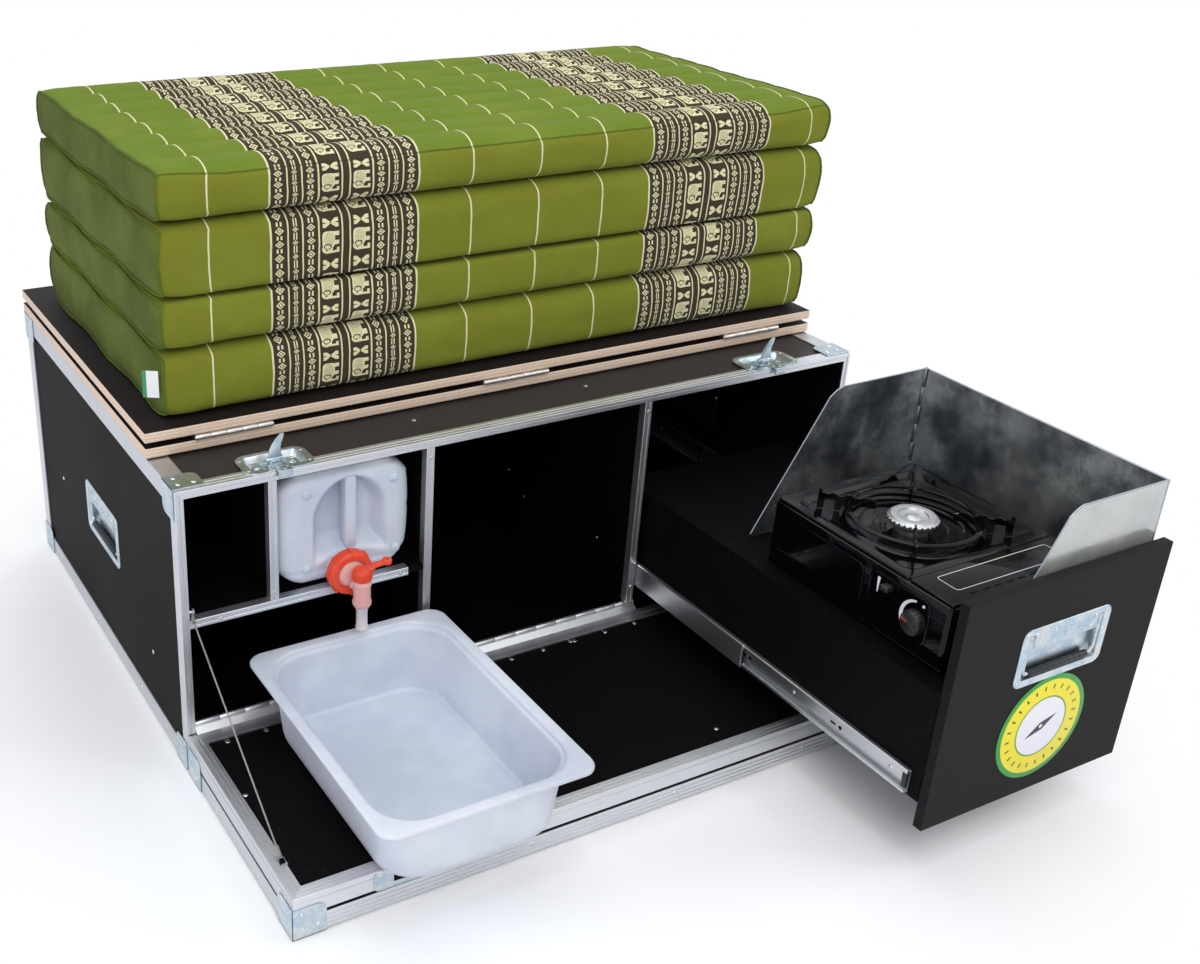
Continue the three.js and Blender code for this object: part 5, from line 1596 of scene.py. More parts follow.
@dataclass
class Corners:
    """Pressed zinc corner fittings, their rivets, and the rivets of the profiles.

    Args:
        size: Length of a plate.
        sheet: Its thickness.
        turn: Radius of its round corner.
        front: Corner of the open flap along Y.
        sides: Corner along X and the direction into the body.
    """

    size: float = 48.0
    sheet: float = 1.5
    turn: float = 13.0
    front: float = -376.6
    sides: tuple[tuple[float, int], ...] = ((0.0, 1), (WIDTH, -1))

    def plate(self, solid: Solid, axis: Axis, start: float, cut: float) -> None:
        """Adds one plate of a fitting whose corner is at zero.

        Args:
            solid: Where it is made.
            axis: The axis across it.
            start: Where it starts along Y.
            cut: Where the plate is cut short along Y, or its size.
        """
        s, r = self.size, self.turn
        foot = 0.0 if axis is not Axis.Z else start
        left = start if axis is Axis.X else 0.0
        right, top = (cut if axis is Axis.X else s), (cut if axis is Axis.Z else s)
        outline = [(left, foot), (right, foot), *arc((right - r, top - r), r, 0, 90, 5), (left, top)]
        solid.prism(outline, axis, 0.0, self.sheet, bevel=0.35, steps=1)

    def fitting(self, solid: Solid, corner: Point, signs: Point, faces: str, start: float = 0.0,
                cut: float = 48.0) -> None:
        """Adds a fitting with three rivets in each plate.

        Args:
            solid: Where it is made.
            corner: Its outer corner.
            signs: Directions into the body.
            faces: Letters of its plates.
            start: Where its plates start along Y.
            cut: Where they end along Y.
        """
        with solid.at(spot(*corner) @ Matrix.Diagonal((*signs, 1.0))):
            for letter, axis, normal in (("x", Axis.X, (-1, 0, 0)), ("y", Axis.Y, (0, -1, 0)),
                                         ("z", Axis.Z, (0, 0, -1))):
                if letter not in faces:
                    continue
                self.plate(solid, axis, start, cut)
                near = start + 13.0
                far = min(near + 22.0, cut - 9.0)
                for u, v in ((near, 14.0), (far, 14.0), (near, 36.0)):
                    seat = {"x": (0.0, u, v), "y": (u - start + 1.0, 0.0, v), "z": (v, u, 0.0)}[letter]
                    solid.dome(seat, normal, 3.9, 1.6, 12, slot=1)

    def build(self) -> None:
        """Builds the fittings of the case and of the flap."""
        for level, z, up in (("low", 0.0, 1), ("high", HEIGHT, -1)):
            solid = Solid()
            for x, n in self.sides:
                self.fitting(solid, (x, 0.0, z), (n, 1, up), "xz", 6.0)
                self.fitting(solid, (x, DEPTH, z), (n, -1, up), "xyz")
                solid.domes([(x + n * INSET, DEPTH * share, z + up * 16.0) for share in (0.28, 0.42, 0.57, 0.72, 0.87)],
                            (-n, 0, 0), 3.4, 1.3, slot=1)
            solid.piece(f"corner_fittings_{level}", "case", [Paints.zinc, Paints.rivet], (), "zinc")
        solid = Solid()
        for x, n in self.sides:
            self.fitting(solid, (x, self.front, 0.0), (n, 1, 1), "xyz")
            self.fitting(solid, (x, -2.0, 0.0), (n, -1, 1), "xz")
            solid.domes([(x + n * INSET, self.front * share, 16.0) for share in (0.3, 0.5, 0.7)], (-n, 0, 0), 3.4, 1.3,
                        slot=1)
        solid.domes([(WIDTH * share, FLAP_FRONT, 17.5) for share in (0.2, 0.3, 0.5, 0.7, 0.86)], (0, -1, 0), 3.4, 1.3,
                    slot=1)
        for x, n in self.sides:
            solid.domes([(x + n * INSET, y, 52.0) for y in (-352.0, -334.0)], (-n, 0, 0), 2.6, 1.0, slot=1)
        solid.piece("corner_fittings_flap", "flap", [Paints.zinc, Paints.rivet], (), "zinc")
        self.keepers()

    def keepers(self) -> None:
        """Adds the keeper plates on the flap's front, each with a dark patch in a rim for the claw's recess, the patch
        painted shade.
        """
        solid = Solid()
        for x in LATCHES:
            with solid.at(spot(x, FLAP_FRONT, 48.0)):
                hole = rounded((-18.0, -8.0), (18.0, 10.0), 3.0)
                solid.prism(rounded((-45.0, -16.0), (45.0, 16.0), 8.0), Axis.Y, -0.1, -1.3, bevel=0.3, steps=1)
                # Dark patch in the near-black film for the recess: painted shade.
                solid.prism(hole, Axis.Y, -1.2, -1.5, slot=2)
                solid.sweep([(u, -1.4, v) for u, v in hole + hole[:1]], 1.0, sides=8, slot=1)
                solid.domes([(u, -1.3, v) for u in (-37.0, 37.0) for v in (-9.0, 9.0)], (0, -1, 0), 3.2, 0.6, slot=1)
        solid.piece("latch_keepers", "flap", [Paints.zinc, Paints.rivet, Paints.inner])


@dataclass
class Latch:
    """A butterfly latch in the top's front edge.

    Args:
        side: Its side.
        x: Its middle.
        y: Its distance from the case's front.
        flange: Half the width and depth of its flange.
    """

    side: str
    x: float
    y: float = 33.0
    flange: Point = (53.0, 31.0)

    def dish(self) -> None:
        """Builds the dish: flange, tray and riveted corners."""
        solid = Solid()
        with solid.at(spot(self.x, self.y, 460.5)):
            (u, v), inner = self.flange, rounded((-41.5, -22.0), (41.5, 23.0), 7.0, 5)
            outer = rounded((-u, -v), (u, v), 18.0, 5)
            floor = rounded((-37.0, -17.5), (37.0, 17.5), 6.0, 5)
            solid.loft([ring_at(floor, -8.9), ring_at(inner, 0.0, 1.02, 1.03), ring_at(outer, 0.0), ring_at(outer, 1.2),
                        ring_at(outer, 1.5, 0.992, 0.99), ring_at(inner, 1.5, 1.02, 1.03), ring_at(inner, 0.9),
                        ring_at(floor, -8.2)])
            solid.domes([(u, v, 1.4) for u in (-46.0, 46.0) for v in (-17.0, 17.0)], (0, 0, 1), 3.2, 1.1, 12, 1)
            for u in (-26.0, 26.0):
                solid.rod((u, 2.0, -8.2), (u, 2.0, -4.6), 7.4, 6.4, bevel=1.0)
                solid.rod((u, 2.0, -4.6), (u, 2.0, -2.6), 3.6, bevel=0.6, slot=1)
                solid.box((u - 10.0, -15.0, -8.2), (u + 10.0, -11.0, -3.0), 1.2, 2)
                solid.box((u - 8.0, 12.0, -8.2), (u + 8.0, 15.0, -5.0), 1.0, 2, slot=1)
            for u in (-12.5, 12.5):
                solid.box((u - 1.2, -30.6, 0.4), (u + 1.2, -12.0, 2.8), 0.5, 1)
        solid.piece(f"{self.side}_latch_dish_pressing", "case", [Paints.zinc, Paints.rivet],
                    [f"{self.side}_latch_dish"], "zinc")

    def rotor(self) -> None:
        """Builds the turning disc with its two wings, one folded up."""
        solid = Solid()
        with solid.at(spot(self.x, self.y, 0.0)):
            solid.rod((0, 0, 452.6), (0, 0, 458.3), 13.0, sides=32, bevel=1.0)
            solid.rod((0, 0, 455.0), (0, 0, 464.3), 8.0, sides=24, bevel=0.8)
            solid.rod((0, 0, 464.0), (0, 0, 465.8), 4.2, sides=16, bevel=0.6, slot=1)
            blade = [(-12.5, 461.0), (12.5, 461.0), (13.0, 464.5), (10.0, 470.0), (8.5, 478.0), (10.0, 487.0),
                     (13.0, 494.0), (14.5, 499.5), (12.5, 502.0), (8.0, 500.5), (2.0, 494.0), (-4.0, 486.0),
                     (-8.0, 478.0), (-9.5, 470.0), (-12.5, 465.0)]
            solid.prism(blade, Axis.Y, -1.4, 1.4, bevel=0.7, steps=2)
            solid.rod((-12.0, 0, 464.0), (12.0, 0, 464.0), 2.6, sides=14, bevel=0.5)
            wing = [*arc((0.0, 2.0), 12.5, 20, 160, 8), (-9.0, 1.0), (9.0, 1.0)]
            solid.prism(wing, Axis.Z, 459.0, 461.0, bevel=0.5, steps=1)
        solid.piece(f"{self.side}_latch_butterfly", f"{self.side}_butterfly", [Paints.zinc, Paints.rivet],
                    [f"{self.side}_latch_rotor"], "zinc")

    def claw(self) -> None:
        """Builds the sliding claw with its hooked nose."""
        solid = Solid()
        with solid.at(spot(self.x, 0.0, 462.3)):
            plate = [(-11.0, -6.0), (-9.0, -8.0), (9.0, -8.0), (11.0, -6.0), (11.0, 12.0), (7.0, 16.0), (7.0, 20.6),
                     (-7.0, 20.6), (-7.0, 16.0), (-11.0, 12.0)]
            solid.prism(plate, Axis.Z, 0.0, 2.0, bevel=0.5, steps=1)
            nose = [(-8.0, 1.6), (-6.2, 2.0), (-5.6, 0.0), (-5.4, -7.0), (-3.2, -9.6), (-4.8, -10.0), (-7.6, -7.5)]
            solid.prism(nose, Axis.X, -10.5, 10.5, bevel=0.4, steps=1)
            solid.domes([(-7.0, 5.0, 2.0), (7.0, 5.0, 2.0)], (0, 0, 1), 2.2, 0.8, slot=1)
            solid.box((-3.0, -4.0, 2.0), (3.0, 14.0, 2.9), 0.4, 1)
        solid.piece(f"{self.side}_latch_hook", f"{self.side}_hook", [Paints.zinc, Paints.rivet],
                    [f"{self.side}_latch_claw"], "zinc")

    def build(self) -> None:
        """Builds the latch."""
        self.dish()
        self.rotor()
        self.claw()


@dataclass
class Handle:
    """A recessed handle: pressed dish, bail and rubber grip.

    Args:
        name: Its name.
        node: Start of its CAD nodes' names.
        body: Body of the dish.
        grip: Body of the bail.
        place: Its frame, with the third axis outwards.
        flange: Half the width and height of its flange.
        mouth: Half the width and height of its opening.
    """

    name: str
    node: str
    body: str
    grip: str
    place: Matrix
    flange: Point = (84.0, 45.5)
    mouth: Point = (72.0, 34.5)

    def dish(self) -> None:
        """Builds the pressed dish with its beads and rivets."""
        solid = Solid()
        with solid.at(self.place):
            outer, mouth = [rounded((-u, -v), (u, v), radius, 6)
                            for (u, v), radius in ((self.flange, 13.0), (self.mouth, 5.0))]
            floor = rounded((-70, -33.6), (70, 30.0), 5.0, 6)
            solid.loft([ring_at(floor, -9.0), ring_at(mouth, 0.0, 1.012, 1.025), ring_at(outer, 0.0),
                        ring_at(outer, 1.1), ring_at(outer, 1.6, 0.994, 0.99), ring_at(mouth, 1.6, 1.012, 1.025),
                        ring_at(mouth, 1.0), ring_at(floor, -8.4)])
            solid.domes([(u, v, 1.5) for u in (-76.5, 76.5) for v in (-38.0, 38.0)], (0, 0, 1), 3.3, 1.2, 12, 1)
            solid.box((-61.0, 13.0, 0.1), (61.0, 36.0, 1.3), 0.4, 2)
            for u, v, r, h in ((-56, 33, 5.0, 2.6), (-38, 38, 3.4, 1.6), (-22, 34, 4.0, 2.0), (-8, 39, 3.0, 1.4),
                               (8, 33, 3.4, 1.6), (22, 38, 4.0, 2.0), (38, 34, 3.4, 1.6), (56, 33, 5.0, 2.6),
                               (-48, 19, 3.0, 1.4), (48, 19, 3.0, 1.4), (0, 20, 3.0, 1.2)):
                solid.dome((u, v, 1.1), (0, 0, 1), r, h, 12, slot=1 if r > 3.5 else 0)
            for u in (-26.0, 4.0, 30.0):
                solid.box((u - 7.0, 22.0, 1.0), (u + 7.0, 25.0, 2.0), 0.5, 2)
            for u in (-30.0, 30.0):
                solid.box((u - 12.0, -44.0, 1.3), (u + 12.0, -42.0, 2.1), 0.4, 1)
        solid.piece(f"{self.name}_pressing", self.body, [Paints.zinc, Paints.rivet], [f"{self.node}_handle_dish"],
                    "zinc")

    def bail(self) -> None:
        """Builds the steel bail with its sleeve of black rubber."""
        solid = Solid()
        with solid.at(self.place):
            low, deep = -27.8, -1.8
            half = [(67.6, 29.5), (67.6, 0.0), (67.4, -20.0), (64.0, -26.0), (56.0, low)]
            solid.sweep(ring_at([(-u, v) for u, v in half] + half[::-1], deep), 2.7, sides=12)
            solid.rod((-56.0, low, deep), (56.0, low, deep), 5.3, sides=28, bevel=1.2, slot=1)
            for k in range(9):
                u = -40.0 + k * 10.0
                solid.rod((u - 1.4, low, deep), (u + 1.4, low, deep), 5.5, sides=28, bevel=0.3, slot=1)
            for u in (-66.0, 66.0):
                solid.rod((u - 4.0, 30.0, deep), (u + 4.0, 30.0, deep), 3.2, sides=16, bevel=0.6)
        solid.piece(f"{self.name}_bail", self.grip, [Paints.zinc, Paints.rubber], [f"{self.node}_handle_bail"],
                    "rubber")

    def build(self) -> None:
        """Builds the handle."""
        self.dish()
        self.bail()


@dataclass
class CaseHandles:
    """The handles on both sides of the case.

    Args:
        seat: Y and Z of their middle.
        planes: Outer faces of the side panels.
    """

    seat: Point = (376.0, 231.0)
    planes: Point = (4.1, 1195.9)

    def build(self) -> None:
        """Builds them."""
        for side, along, x in zip(("left", "right"), (-1, 1), self.planes):
            Handle(f"{side}_handle", side, "case", f"{side}_grip",
                   facing((0, along, 0), (0, 0, 1), (x, *self.seat))).build()


@dataclass
class Latches:
    """Both butterfly latches."""

    def build(self) -> None:
        """Builds them."""
        for side, x in zip(("left", "right"), LATCHES):
            Latch(side, x).build()


@dataclass
class Boards:
    """The two bed boards and the hinges between them.

    Args:
        front: Front edge of the boards.
        thick: Their thickness.
        hinges: Middles of the hinges.
        pin: Y and Z of the hinges' axis.
        wide: Width of a hinge.
    """

    front: float = 110.0
    thick: float = 15.0
    hinges: Point = (131.0, 600.0, 1069.0)
    pin: Point = (108.0, 481.45)
    wide: float = 118.0

    def board(self, name: str, body: str, low: float, edge: Finish, node: str) -> None:
        """Builds one board with film faces and bare edges.

        Args:
            name: Name of the piece.
            body: CAD body.
            low: Its underside.
            edge: Finish of its edges.
            node: CAD node that it stands for.
        """
        solid = Solid()
        solid.box((0.0, self.front, low), (WIDTH, DEPTH, low + self.thick), 0.8, 2)
        solid.bm.normal_update()
        for face in solid.bm.faces:
            face.material_index = 1 if abs(face.normal.z) > 0.9 else 0
        solid.piece(name, body, [edge, Paints.board], [node], "birch")

    def hinge(self, middle: float) -> None:
        """Builds one hinge: five knuckles, a pin and two leaves.

        Args:
            middle: Its middle along X.
        """
        lower, upper = Solid(), Solid()
        pitch, start = self.wide / 5, middle - self.wide / 2
        for k in range(5):
            x0, x1 = start + pitch * k + 0.25, start + pitch * (k + 1) - 0.25
            solid, leaf = (lower, 477.5) if k % 2 == 0 else (upper, 483.9)
            solid.rod((x0, *self.pin), (x1, *self.pin), 4.0, sides=20, bevel=0.3)
            solid.box((x0, self.pin[0], leaf), (x1, self.pin[0] + 30.0, leaf + 1.5), 0.3, 1)
        lower.rod((start - 0.6, *self.pin), (start + self.wide + 0.6, *self.pin), 1.6, sides=12, bevel=0.4)
        tag = round(middle)
        lower.piece(f"board_hinge_lower_{tag}", "case", [Paints.steel_x])
        upper.piece(f"board_hinge_upper_{tag}", "bed", [Paints.steel_x])

    def build(self) -> None:
        """Builds both boards and three hinges."""
        self.board("lower_board", "case", 462.3, Paints.birch_low, "lower_bed_board")
        self.board("upper_board", "bed", 485.6, Paints.birch_high, "upper_bed_board")
        for middle in self.hinges:
            self.hinge(middle)


@dataclass
class Flap:
    """Panels of the flap, its screws, and the piano hinge on which it turns.

    Args:
        floor: Upper face of the inner panel.
        studs: X and Y of the single studs.
        pin: Y and Z of the hinge's axis.
        span: Where the hinge starts and stops.
        knuckles: Their number.
    """

    floor: float = 62.7
    studs: tuple[Point, ...] = ((643.0, -33.0), (707.0, -326.0), (27.5, -157.0), (1100.0, -34.0), (960.0, -34.0))
    pin: Point = (10.0, 75.0)
    span: Point = (15.0, 796.0)
    knuckles: int = 20

    def screws(self) -> None:
        """Adds the screws of the hinge row and the studs on the panel."""
        solid = Solid()
        solid.domes([(50.0 + 60.0 * k, -34.0, self.floor) for k in range(13)], (0, 0, 1), 4.0, 0.9, 12)
        solid.domes([(x, y, self.floor) for x, y in self.studs], (0, 0, 1), 3.6, 0.9, 12)
        solid.piece("flap_screws", "flap", [Paints.rivet])

    def hinge(self) -> None:
        """Builds the piano hinge: leaves of the case and the flap with alternating knuckles."""
        still, moving = Solid(), Solid()
        left, right = self.span
        pitch = (right - left) / self.knuckles
        still.box((left, 5.5, 64.3), (right, 29.5, 66.3), 0.3, 1)
        still.rod((left - 0.4, *self.pin), (right + 0.4, *self.pin), 1.7, sides=10)
        moving.box((left, -26.0, 63.1), (right, -2.0, 65.1), 0.3, 1)
        for k in range(self.knuckles):
            x0, x1 = left + pitch * k + 0.5, left + pitch * (k + 1) - 0.5
            solid = still if k % 2 == 0 else moving
            solid.rod((x0, *self.pin), (x1, *self.pin), 4.4, sides=18, bevel=0.25)
            if k % 2 == 0:
                solid.dome(((x0 + x1) / 2, 22.0, 66.3), (0, 0, 1), 3.0, 0.8, 10, slot=1)
        still.prism([(9.4, 66.0), (11.4, 66.0), (12.2, 71.4), (10.4, 71.8)], Axis.X, left, right)
        moving.prism([(-3.4, 65.0), (-1.6, 64.2), (8.4, 70.2), (7.0, 72.2)], Axis.X, left, right)
        still.piece("piano_hinge_case", "case", [Paints.alu_x, Paints.rivet], ["hinge_case_leaf"], "steel")
        moving.piece("piano_hinge_flap", "flap", [Paints.alu_x, Paints.rivet], ["hinge_flap_leaf"], "steel")

    def build(self) -> None:
        """Dresses the panels and builds the rest."""
        # Both flap panels get the near-black film: partly their own colour, partly painted shade.
        dress(("flap_outer_shell", "flap_inner_panel"), Paints.inner)
        self.screws()
        self.hinge()


@dataclass
class Stay:
    """The wire that holds the flap, with its upper bolt and lower lug.

    Args:
        top: Middle of the upper bolt.
        lug: Middle of the lower lug's foot.
    """

    top: Point = (18.0, 8.0, 266.0)
    lug: Point = (18.0, -302.0, 62.9)

    def build(self) -> None:
        """Dresses the CAD wire, which the flap's joint shortens, and adds its upper bolt and lower lug."""
        dress(("stay_cable",), Paints.strand)
        solid = Solid()
        x, y, z = self.top
        solid.rod((x - 4.2, y, z), (x + 4.6, y, z), 3.1, sides=16, bevel=0.6)
        solid.rod((x + 3.4, y, z), (x + 5.0, y, z), 5.0, sides=6, bevel=0.5)
        solid.piece("stay_top_bolt", "case", [Paints.zinc])
        solid = Solid()
        x, y, z = self.lug
        solid.box((x - 6.4, y - 8.0, z), (x + 6.4, y + 8.0, z + 1.5), 0.5, 1)
        solid.dome((x, y - 5.0, z + 1.4), (0, 0, 1), 2.6, 1.2, 12, slot=1)
        solid.piece("stay_foot_lug", "flap", [Paints.zinc, Paints.rivet])


# Goods in the box


@dataclass
class Rail:
    """One member of a telescopic slide: a C channel with lips, holes and stoppers.

    Args:
        name: Name of the piece.
        body: CAD body.
        node: CAD node that it stands for.
        wall: Plane of its back.
        into: Sign of the direction in which its lips point.
        span: Where it starts and stops along Y.
        half: Half its height.
        depth: How far its lips reach.
    """

    name: str
    body: str
    node: str
    wall: float
    into: int
    span: Point
    half: float
    depth: float

    LEVEL = 133.0

    def build(self) -> None:
        """Builds the channel, its ball races, screw heads and end stops."""
        solid, (y0, y1) = Solid(), self.span
        n, h, t, w = self.into, self.half, 1.2, self.depth
        x = self.wall
        profile = [(x, -h + 1.5), (x, h - 1.5), (x + n * 1.5, h), (x + n * (w - 1.5), h), (x + n * w, h - 1.5),
                   (x + n * w, h - 5.5), (x + n * (w - t), h - 5.5), (x + n * (w - t), h - 1.8),
                   (x + n * (w - t - 0.8), h - t), (x + n * (t + 0.8), h - t), (x + n * t, h - t - 0.8)]
        profile += [(u, -v) for u, v in reversed(profile[2:])]
        solid.prism([(u, v + self.LEVEL) for u, v in profile], Axis.Y, y0, y1)
        seat = x + n * t
        for k in range(7):
            y = y0 + 34.0 + (y1 - y0 - 68.0) * k / 6
            if k % 2 == 0:
                solid.dome((seat, y, self.LEVEL), (n, 0, 0), 3.6, 1.4, 12)
            else:
                # A dark disc and slot in the near-black film stand for a hole: painted shade.
                solid.rod((seat - n * 0.2, y, self.LEVEL), (seat + n * 0.15, y, self.LEVEL), 3.2, sides=16, slot=1)
                solid.box((min(seat, seat + n * 0.3), y + 9.0, self.LEVEL - 1.6),
                          (max(seat, seat + n * 0.3), y + 19.0, self.LEVEL + 1.6), slot=1)
        for y in (y0 + 1.0, y1 - 9.0):
            lo, hi = sorted((x + n * 1.4, x + n * (w - 1.6)))
            solid.box((lo, y, self.LEVEL - h * 0.62), (hi, y + 8.0, self.LEVEL + h * 0.62), 1.0, 2, slot=2)
        solid.piece(self.name, self.body, [Paints.steel_y, Paints.inner, Paints.plastic], [self.node], "steel")


@dataclass
class Slides:
    """Both telescopic slides, three members each."""

    def build(self) -> None:
        """Builds the six rails from the CAD boxes."""
        for side, sign in (("left", 1), ("right", -1)):
            for level, body, into in (("outer", "case", sign), ("middle", "middle_slides", sign),
                                      ("inner", "drawer", -sign)):
                node = f"{side}_{level}_rail"
                lo, hi = [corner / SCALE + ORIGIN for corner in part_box(node)]
                wall = lo.x if into > 0 else hi.x
                Rail(f"{side}_{level}_slide", body, node, wall, into, (lo.y, hi.y), (hi.z - lo.z) / 2,
                     hi.x - lo.x).build()


@dataclass
class Tub:
    """The washing tub, standing on the open flap.

    Args:
        lo: Lowest corner.
        hi: Highest corner.
    """

    lo: Point = (90.0, -448.0, 65.3)
    hi: Point = (406.0, -8.0, 180.3)

    def ring(self, grow: float, height: float, radius: float) -> list[Point]:
        """Points of one ring of the tub.

        Args:
            grow: How far it lies outside the narrowest part of the mouth.
            height: Its height.
            radius: Corner radius.

        Returns:
            The ring.
        """
        inset = 22.0 - grow
        return ring_at(rounded((self.lo[0] + inset, self.lo[1] + inset), (self.hi[0] - inset, self.hi[1] - inset),
                               radius, 8), height)

    def build(self) -> None:
        """Builds the shell: outer wall, wide flat rim and inner wall with a step."""
        top, foot = self.hi[2], self.lo[2]
        levels = [(-34.0, foot + 0.6, 40.0), (-26.0, foot, 44.0), (-16.0, foot + 2.0, 48.0),
                  (-8.0, foot + 10.0, 52.0), (-5.0, foot + 22.0, 54.0), (3.6, top - 12.0, 60.0),
                  (5.0, top - 7.6, 60.0), (10.0, top - 6.6, 50.0), (18.0, top - 6.2, 26.0), (20.6, top - 6.2, 24.0),
                  (21.8, top - 5.0, 24.0), (22.0, top - 2.0, 24.0), (21.0, top - 0.2, 24.0), (19.0, top, 25.0),
                  (9.0, top - 0.4, 58.0), (6.6, top - 1.0, 60.0), (5.2, top - 3.0, 61.0), (4.4, top - 6.4, 61.0),
                  (2.0, top - 7.6, 61.0), (0.6, top - 9.0, 61.0), (0.0, top - 13.0, 60.0), (-9.0, foot + 11.0, 54.0),
                  (-10.2, foot + 6.0, 53.0), (-12.2, foot + 3.8, 51.0), (-15.6, foot + 3.0, 49.0),
                  (-26.0, foot + 2.9, 42.0), (-70.0, foot + 2.8, 30.0)]
        solid = Solid()
        solid.loft([self.ring(*level) for level in levels])
        solid.piece("tub_shell", "tub", [Paints.tub], ["washing_tub"], "milky", angle=50.0)


@dataclass
class Canister:
    """Moulded water canister with a recessed grip, a tap and a screw cap.

    Args:
        lo: Lowest corner.
        hi: Highest corner.
        mouth: Middle of the cap's foot.
        stem: X and Y of the tap's axis.
    """

    lo: Point = (151.0, 8.0, 256.8)
    hi: Point = (361.0, 328.0, 447.0)
    mouth: Point = (256.0, 0.0, 280.6)
    stem: Point = (261.0, -40.0)

    def sculpt(self, at: Vector) -> Vector:
        """Moves a point of the plain block onto the moulded shape.

        Args:
            at: The point.

        Returns:
            Where it goes.
        """
        lo, hi = Vector(self.lo), Vector(self.hi)
        centre, half = (lo + hi) / 2, (hi - lo) / 2
        radius = 27.0
        inner = Vector([max(radius - half[k], min(half[k] - radius, at[k] - centre[k])) for k in range(3)])
        rel = Vector([at[k] - centre[k] - inner[k] for k in range(3)])
        if rel.length > 0:
            rel = rel.normalized() * radius
        p = centre + inner + rel
        cx, cz = abs(p.x - centre.x) / half.x, abs(p.z - centre.z) / half.z
        pull = 95.0 * max(0.0, cx - 0.6) * max(0.0, cz - 0.6)
        p.x -= math.copysign(pull, p.x - centre.x)
        p.z -= math.copysign(pull * 0.8, p.z - centre.z)
        if p.x > centre.x:
            p.x += 8.0 * cx ** 3 * (1 - cz * cz)
        front = max(0.0, 1 - (p.y - self.lo[1]) / 60.0)
        u = (p.x - 266.0) / 56.0
        v = (p.z - (356.0 + 10.0 * (1 - min(1.0, u * u)))) / 56.0
        edge = max(abs(u), abs(v)) if v < 0 else (u * u + max(0.0, v) ** 2.4) ** 0.5
        depth = 34.0 * (1 / (1 + math.exp((edge - 0.92) * 19.0)))
        rim = 2.4 * math.exp(-((edge - 1.1) / 0.09) ** 2)
        p.y += (depth - rim) * front
        for z, deep in ((434.0, 2.6), (284.0, 2.6)):
            p.y += deep * math.exp(-((p.z - z) / 3.0) ** 2) * front * (1 if edge > 1.3 else 0.0)
        if abs(p.x - centre.x) > half.x - radius:
            groove = sum(math.exp(-((p.z - z) / 4.0) ** 2) for z in (300.0, 352.0, 404.0))
            p.x -= math.copysign(2.4 * groove, p.x - centre.x) * min(1.0, (p.y - 8.0) / 40.0)
        return p

    def body(self) -> None:
        """Builds the canister's body with its grip bar and bosses."""
        solid = Solid()
        solid.grid(self.lo, self.hi, (53, 40, 49))
        for vert in solid.bm.verts:
            vert.co = self.sculpt(vert.co)
        solid.box((258.5, 10.0, 304.0), (276.5, 30.0, 431.0), 3.6, 4)
        solid.box((246.0, 14.0, 300.0), (280.0, 34.0, 310.0), 4.0, 3)
        for x, z in ((197.0, 409.0), (335.0, 408.0), (197.0, 290.0), (339.0, 291.0)):
            solid.dome((x, 8.4, z), (0, -1, 0), 8.0, 3.2, 18)
            solid.dome((x, 5.6, z), (0, -1, 0), 3.0, 1.6, 12)
        x, y, z = self.mouth
        solid.lathe([(0.0, 10.0), (30.0, 10.0), (30.0, 4.0), (27.0, 2.2), (26.0, 0.2), (0.0, 0.2)], (x, y - 1.0, z),
                    Axis.Y, 40)
        solid.piece("canister_body", "canister", [Paints.canister], ["water_canister"], "milky", angle=60.0)

    def cap(self) -> None:
        """Builds the ribbed red screw cap."""
        solid = Solid()
        solid.lathe([(22.0, -2.0), (22.0, -19.6), (23.0, -20.6), (28.0, -20.6), (31.5, -19.6), (33.6, -17.0),
                     (34.4, -12.0), (34.6, -2.6), (33.8, -1.6), (24.0, -1.6), (22.0, -2.0)], self.mouth,
                    Axis.Y, 64)
        solid.lathe([(0.0, -21.2), (12.0, -21.2), (14.0, -20.6), (20.6, -17.4), (21.8, -16.0), (21.8, -2.2),
                     (0.0, -2.2)], self.mouth, Axis.Y, 48, slot=1)
        for k in range(8):
            with solid.at(spot(*self.mouth) @ Matrix.Rotation(math.tau * k / 8, 4, "Y")):
                solid.box((32.6, -17.6, -2.4), (36.2, -2.2, 2.4), 1.0, 3)
                solid.box((23.4, -21.2, -1.3), (32.0, -19.0, 1.3), 0.6, 2)
        solid.piece("canister_screw_cap", "canister", [Paints.red, Paints.rose], ["canister_cap"], "red_plastic")

    def tap(self) -> None:
        """Builds the tap: stub, barrel with collars, and the narrower spout."""
        solid, (x, y) = Solid(), self.stem
        solid.rod((256.0, -21.6, 268.0), (x, y + 8.0, 264.0), 9.0, sides=24, bevel=0.6)
        solid.lathe([(0.0, 0.0), (11.5, 0.0), (12.6, 1.4), (13.4, 3.0), (14.0, 4.0), (14.0, 7.0), (12.8, 8.4),
                     (12.8, 34.0), (14.0, 35.4), (14.0, 41.0), (13.0, 43.0), (10.5, 43.6), (0.0, 43.6)],
                    (x, y, 238.2), Axis.Z, 36)
        solid.rod((x, y, 246.0), (x, y, 247.5), 14.1, sides=36, bevel=0.5)
        solid.lathe([(6.4, 0.0), (8.6, 0.0), (9.2, 0.8), (9.2, 6.0), (8.4, 7.4), (8.4, 33.0), (9.5, 35.0), (9.5, 39.2),
                     (6.4, 39.2), (6.4, 12.0), (6.2, 4.0), (6.4, 0.0)], (x, y, 199.0), Axis.Z, 32, slot=1)
        solid.piece("tap_body", "canister", [Paints.rose, Paints.clear], ["tap_barrel"], "rose_plastic")

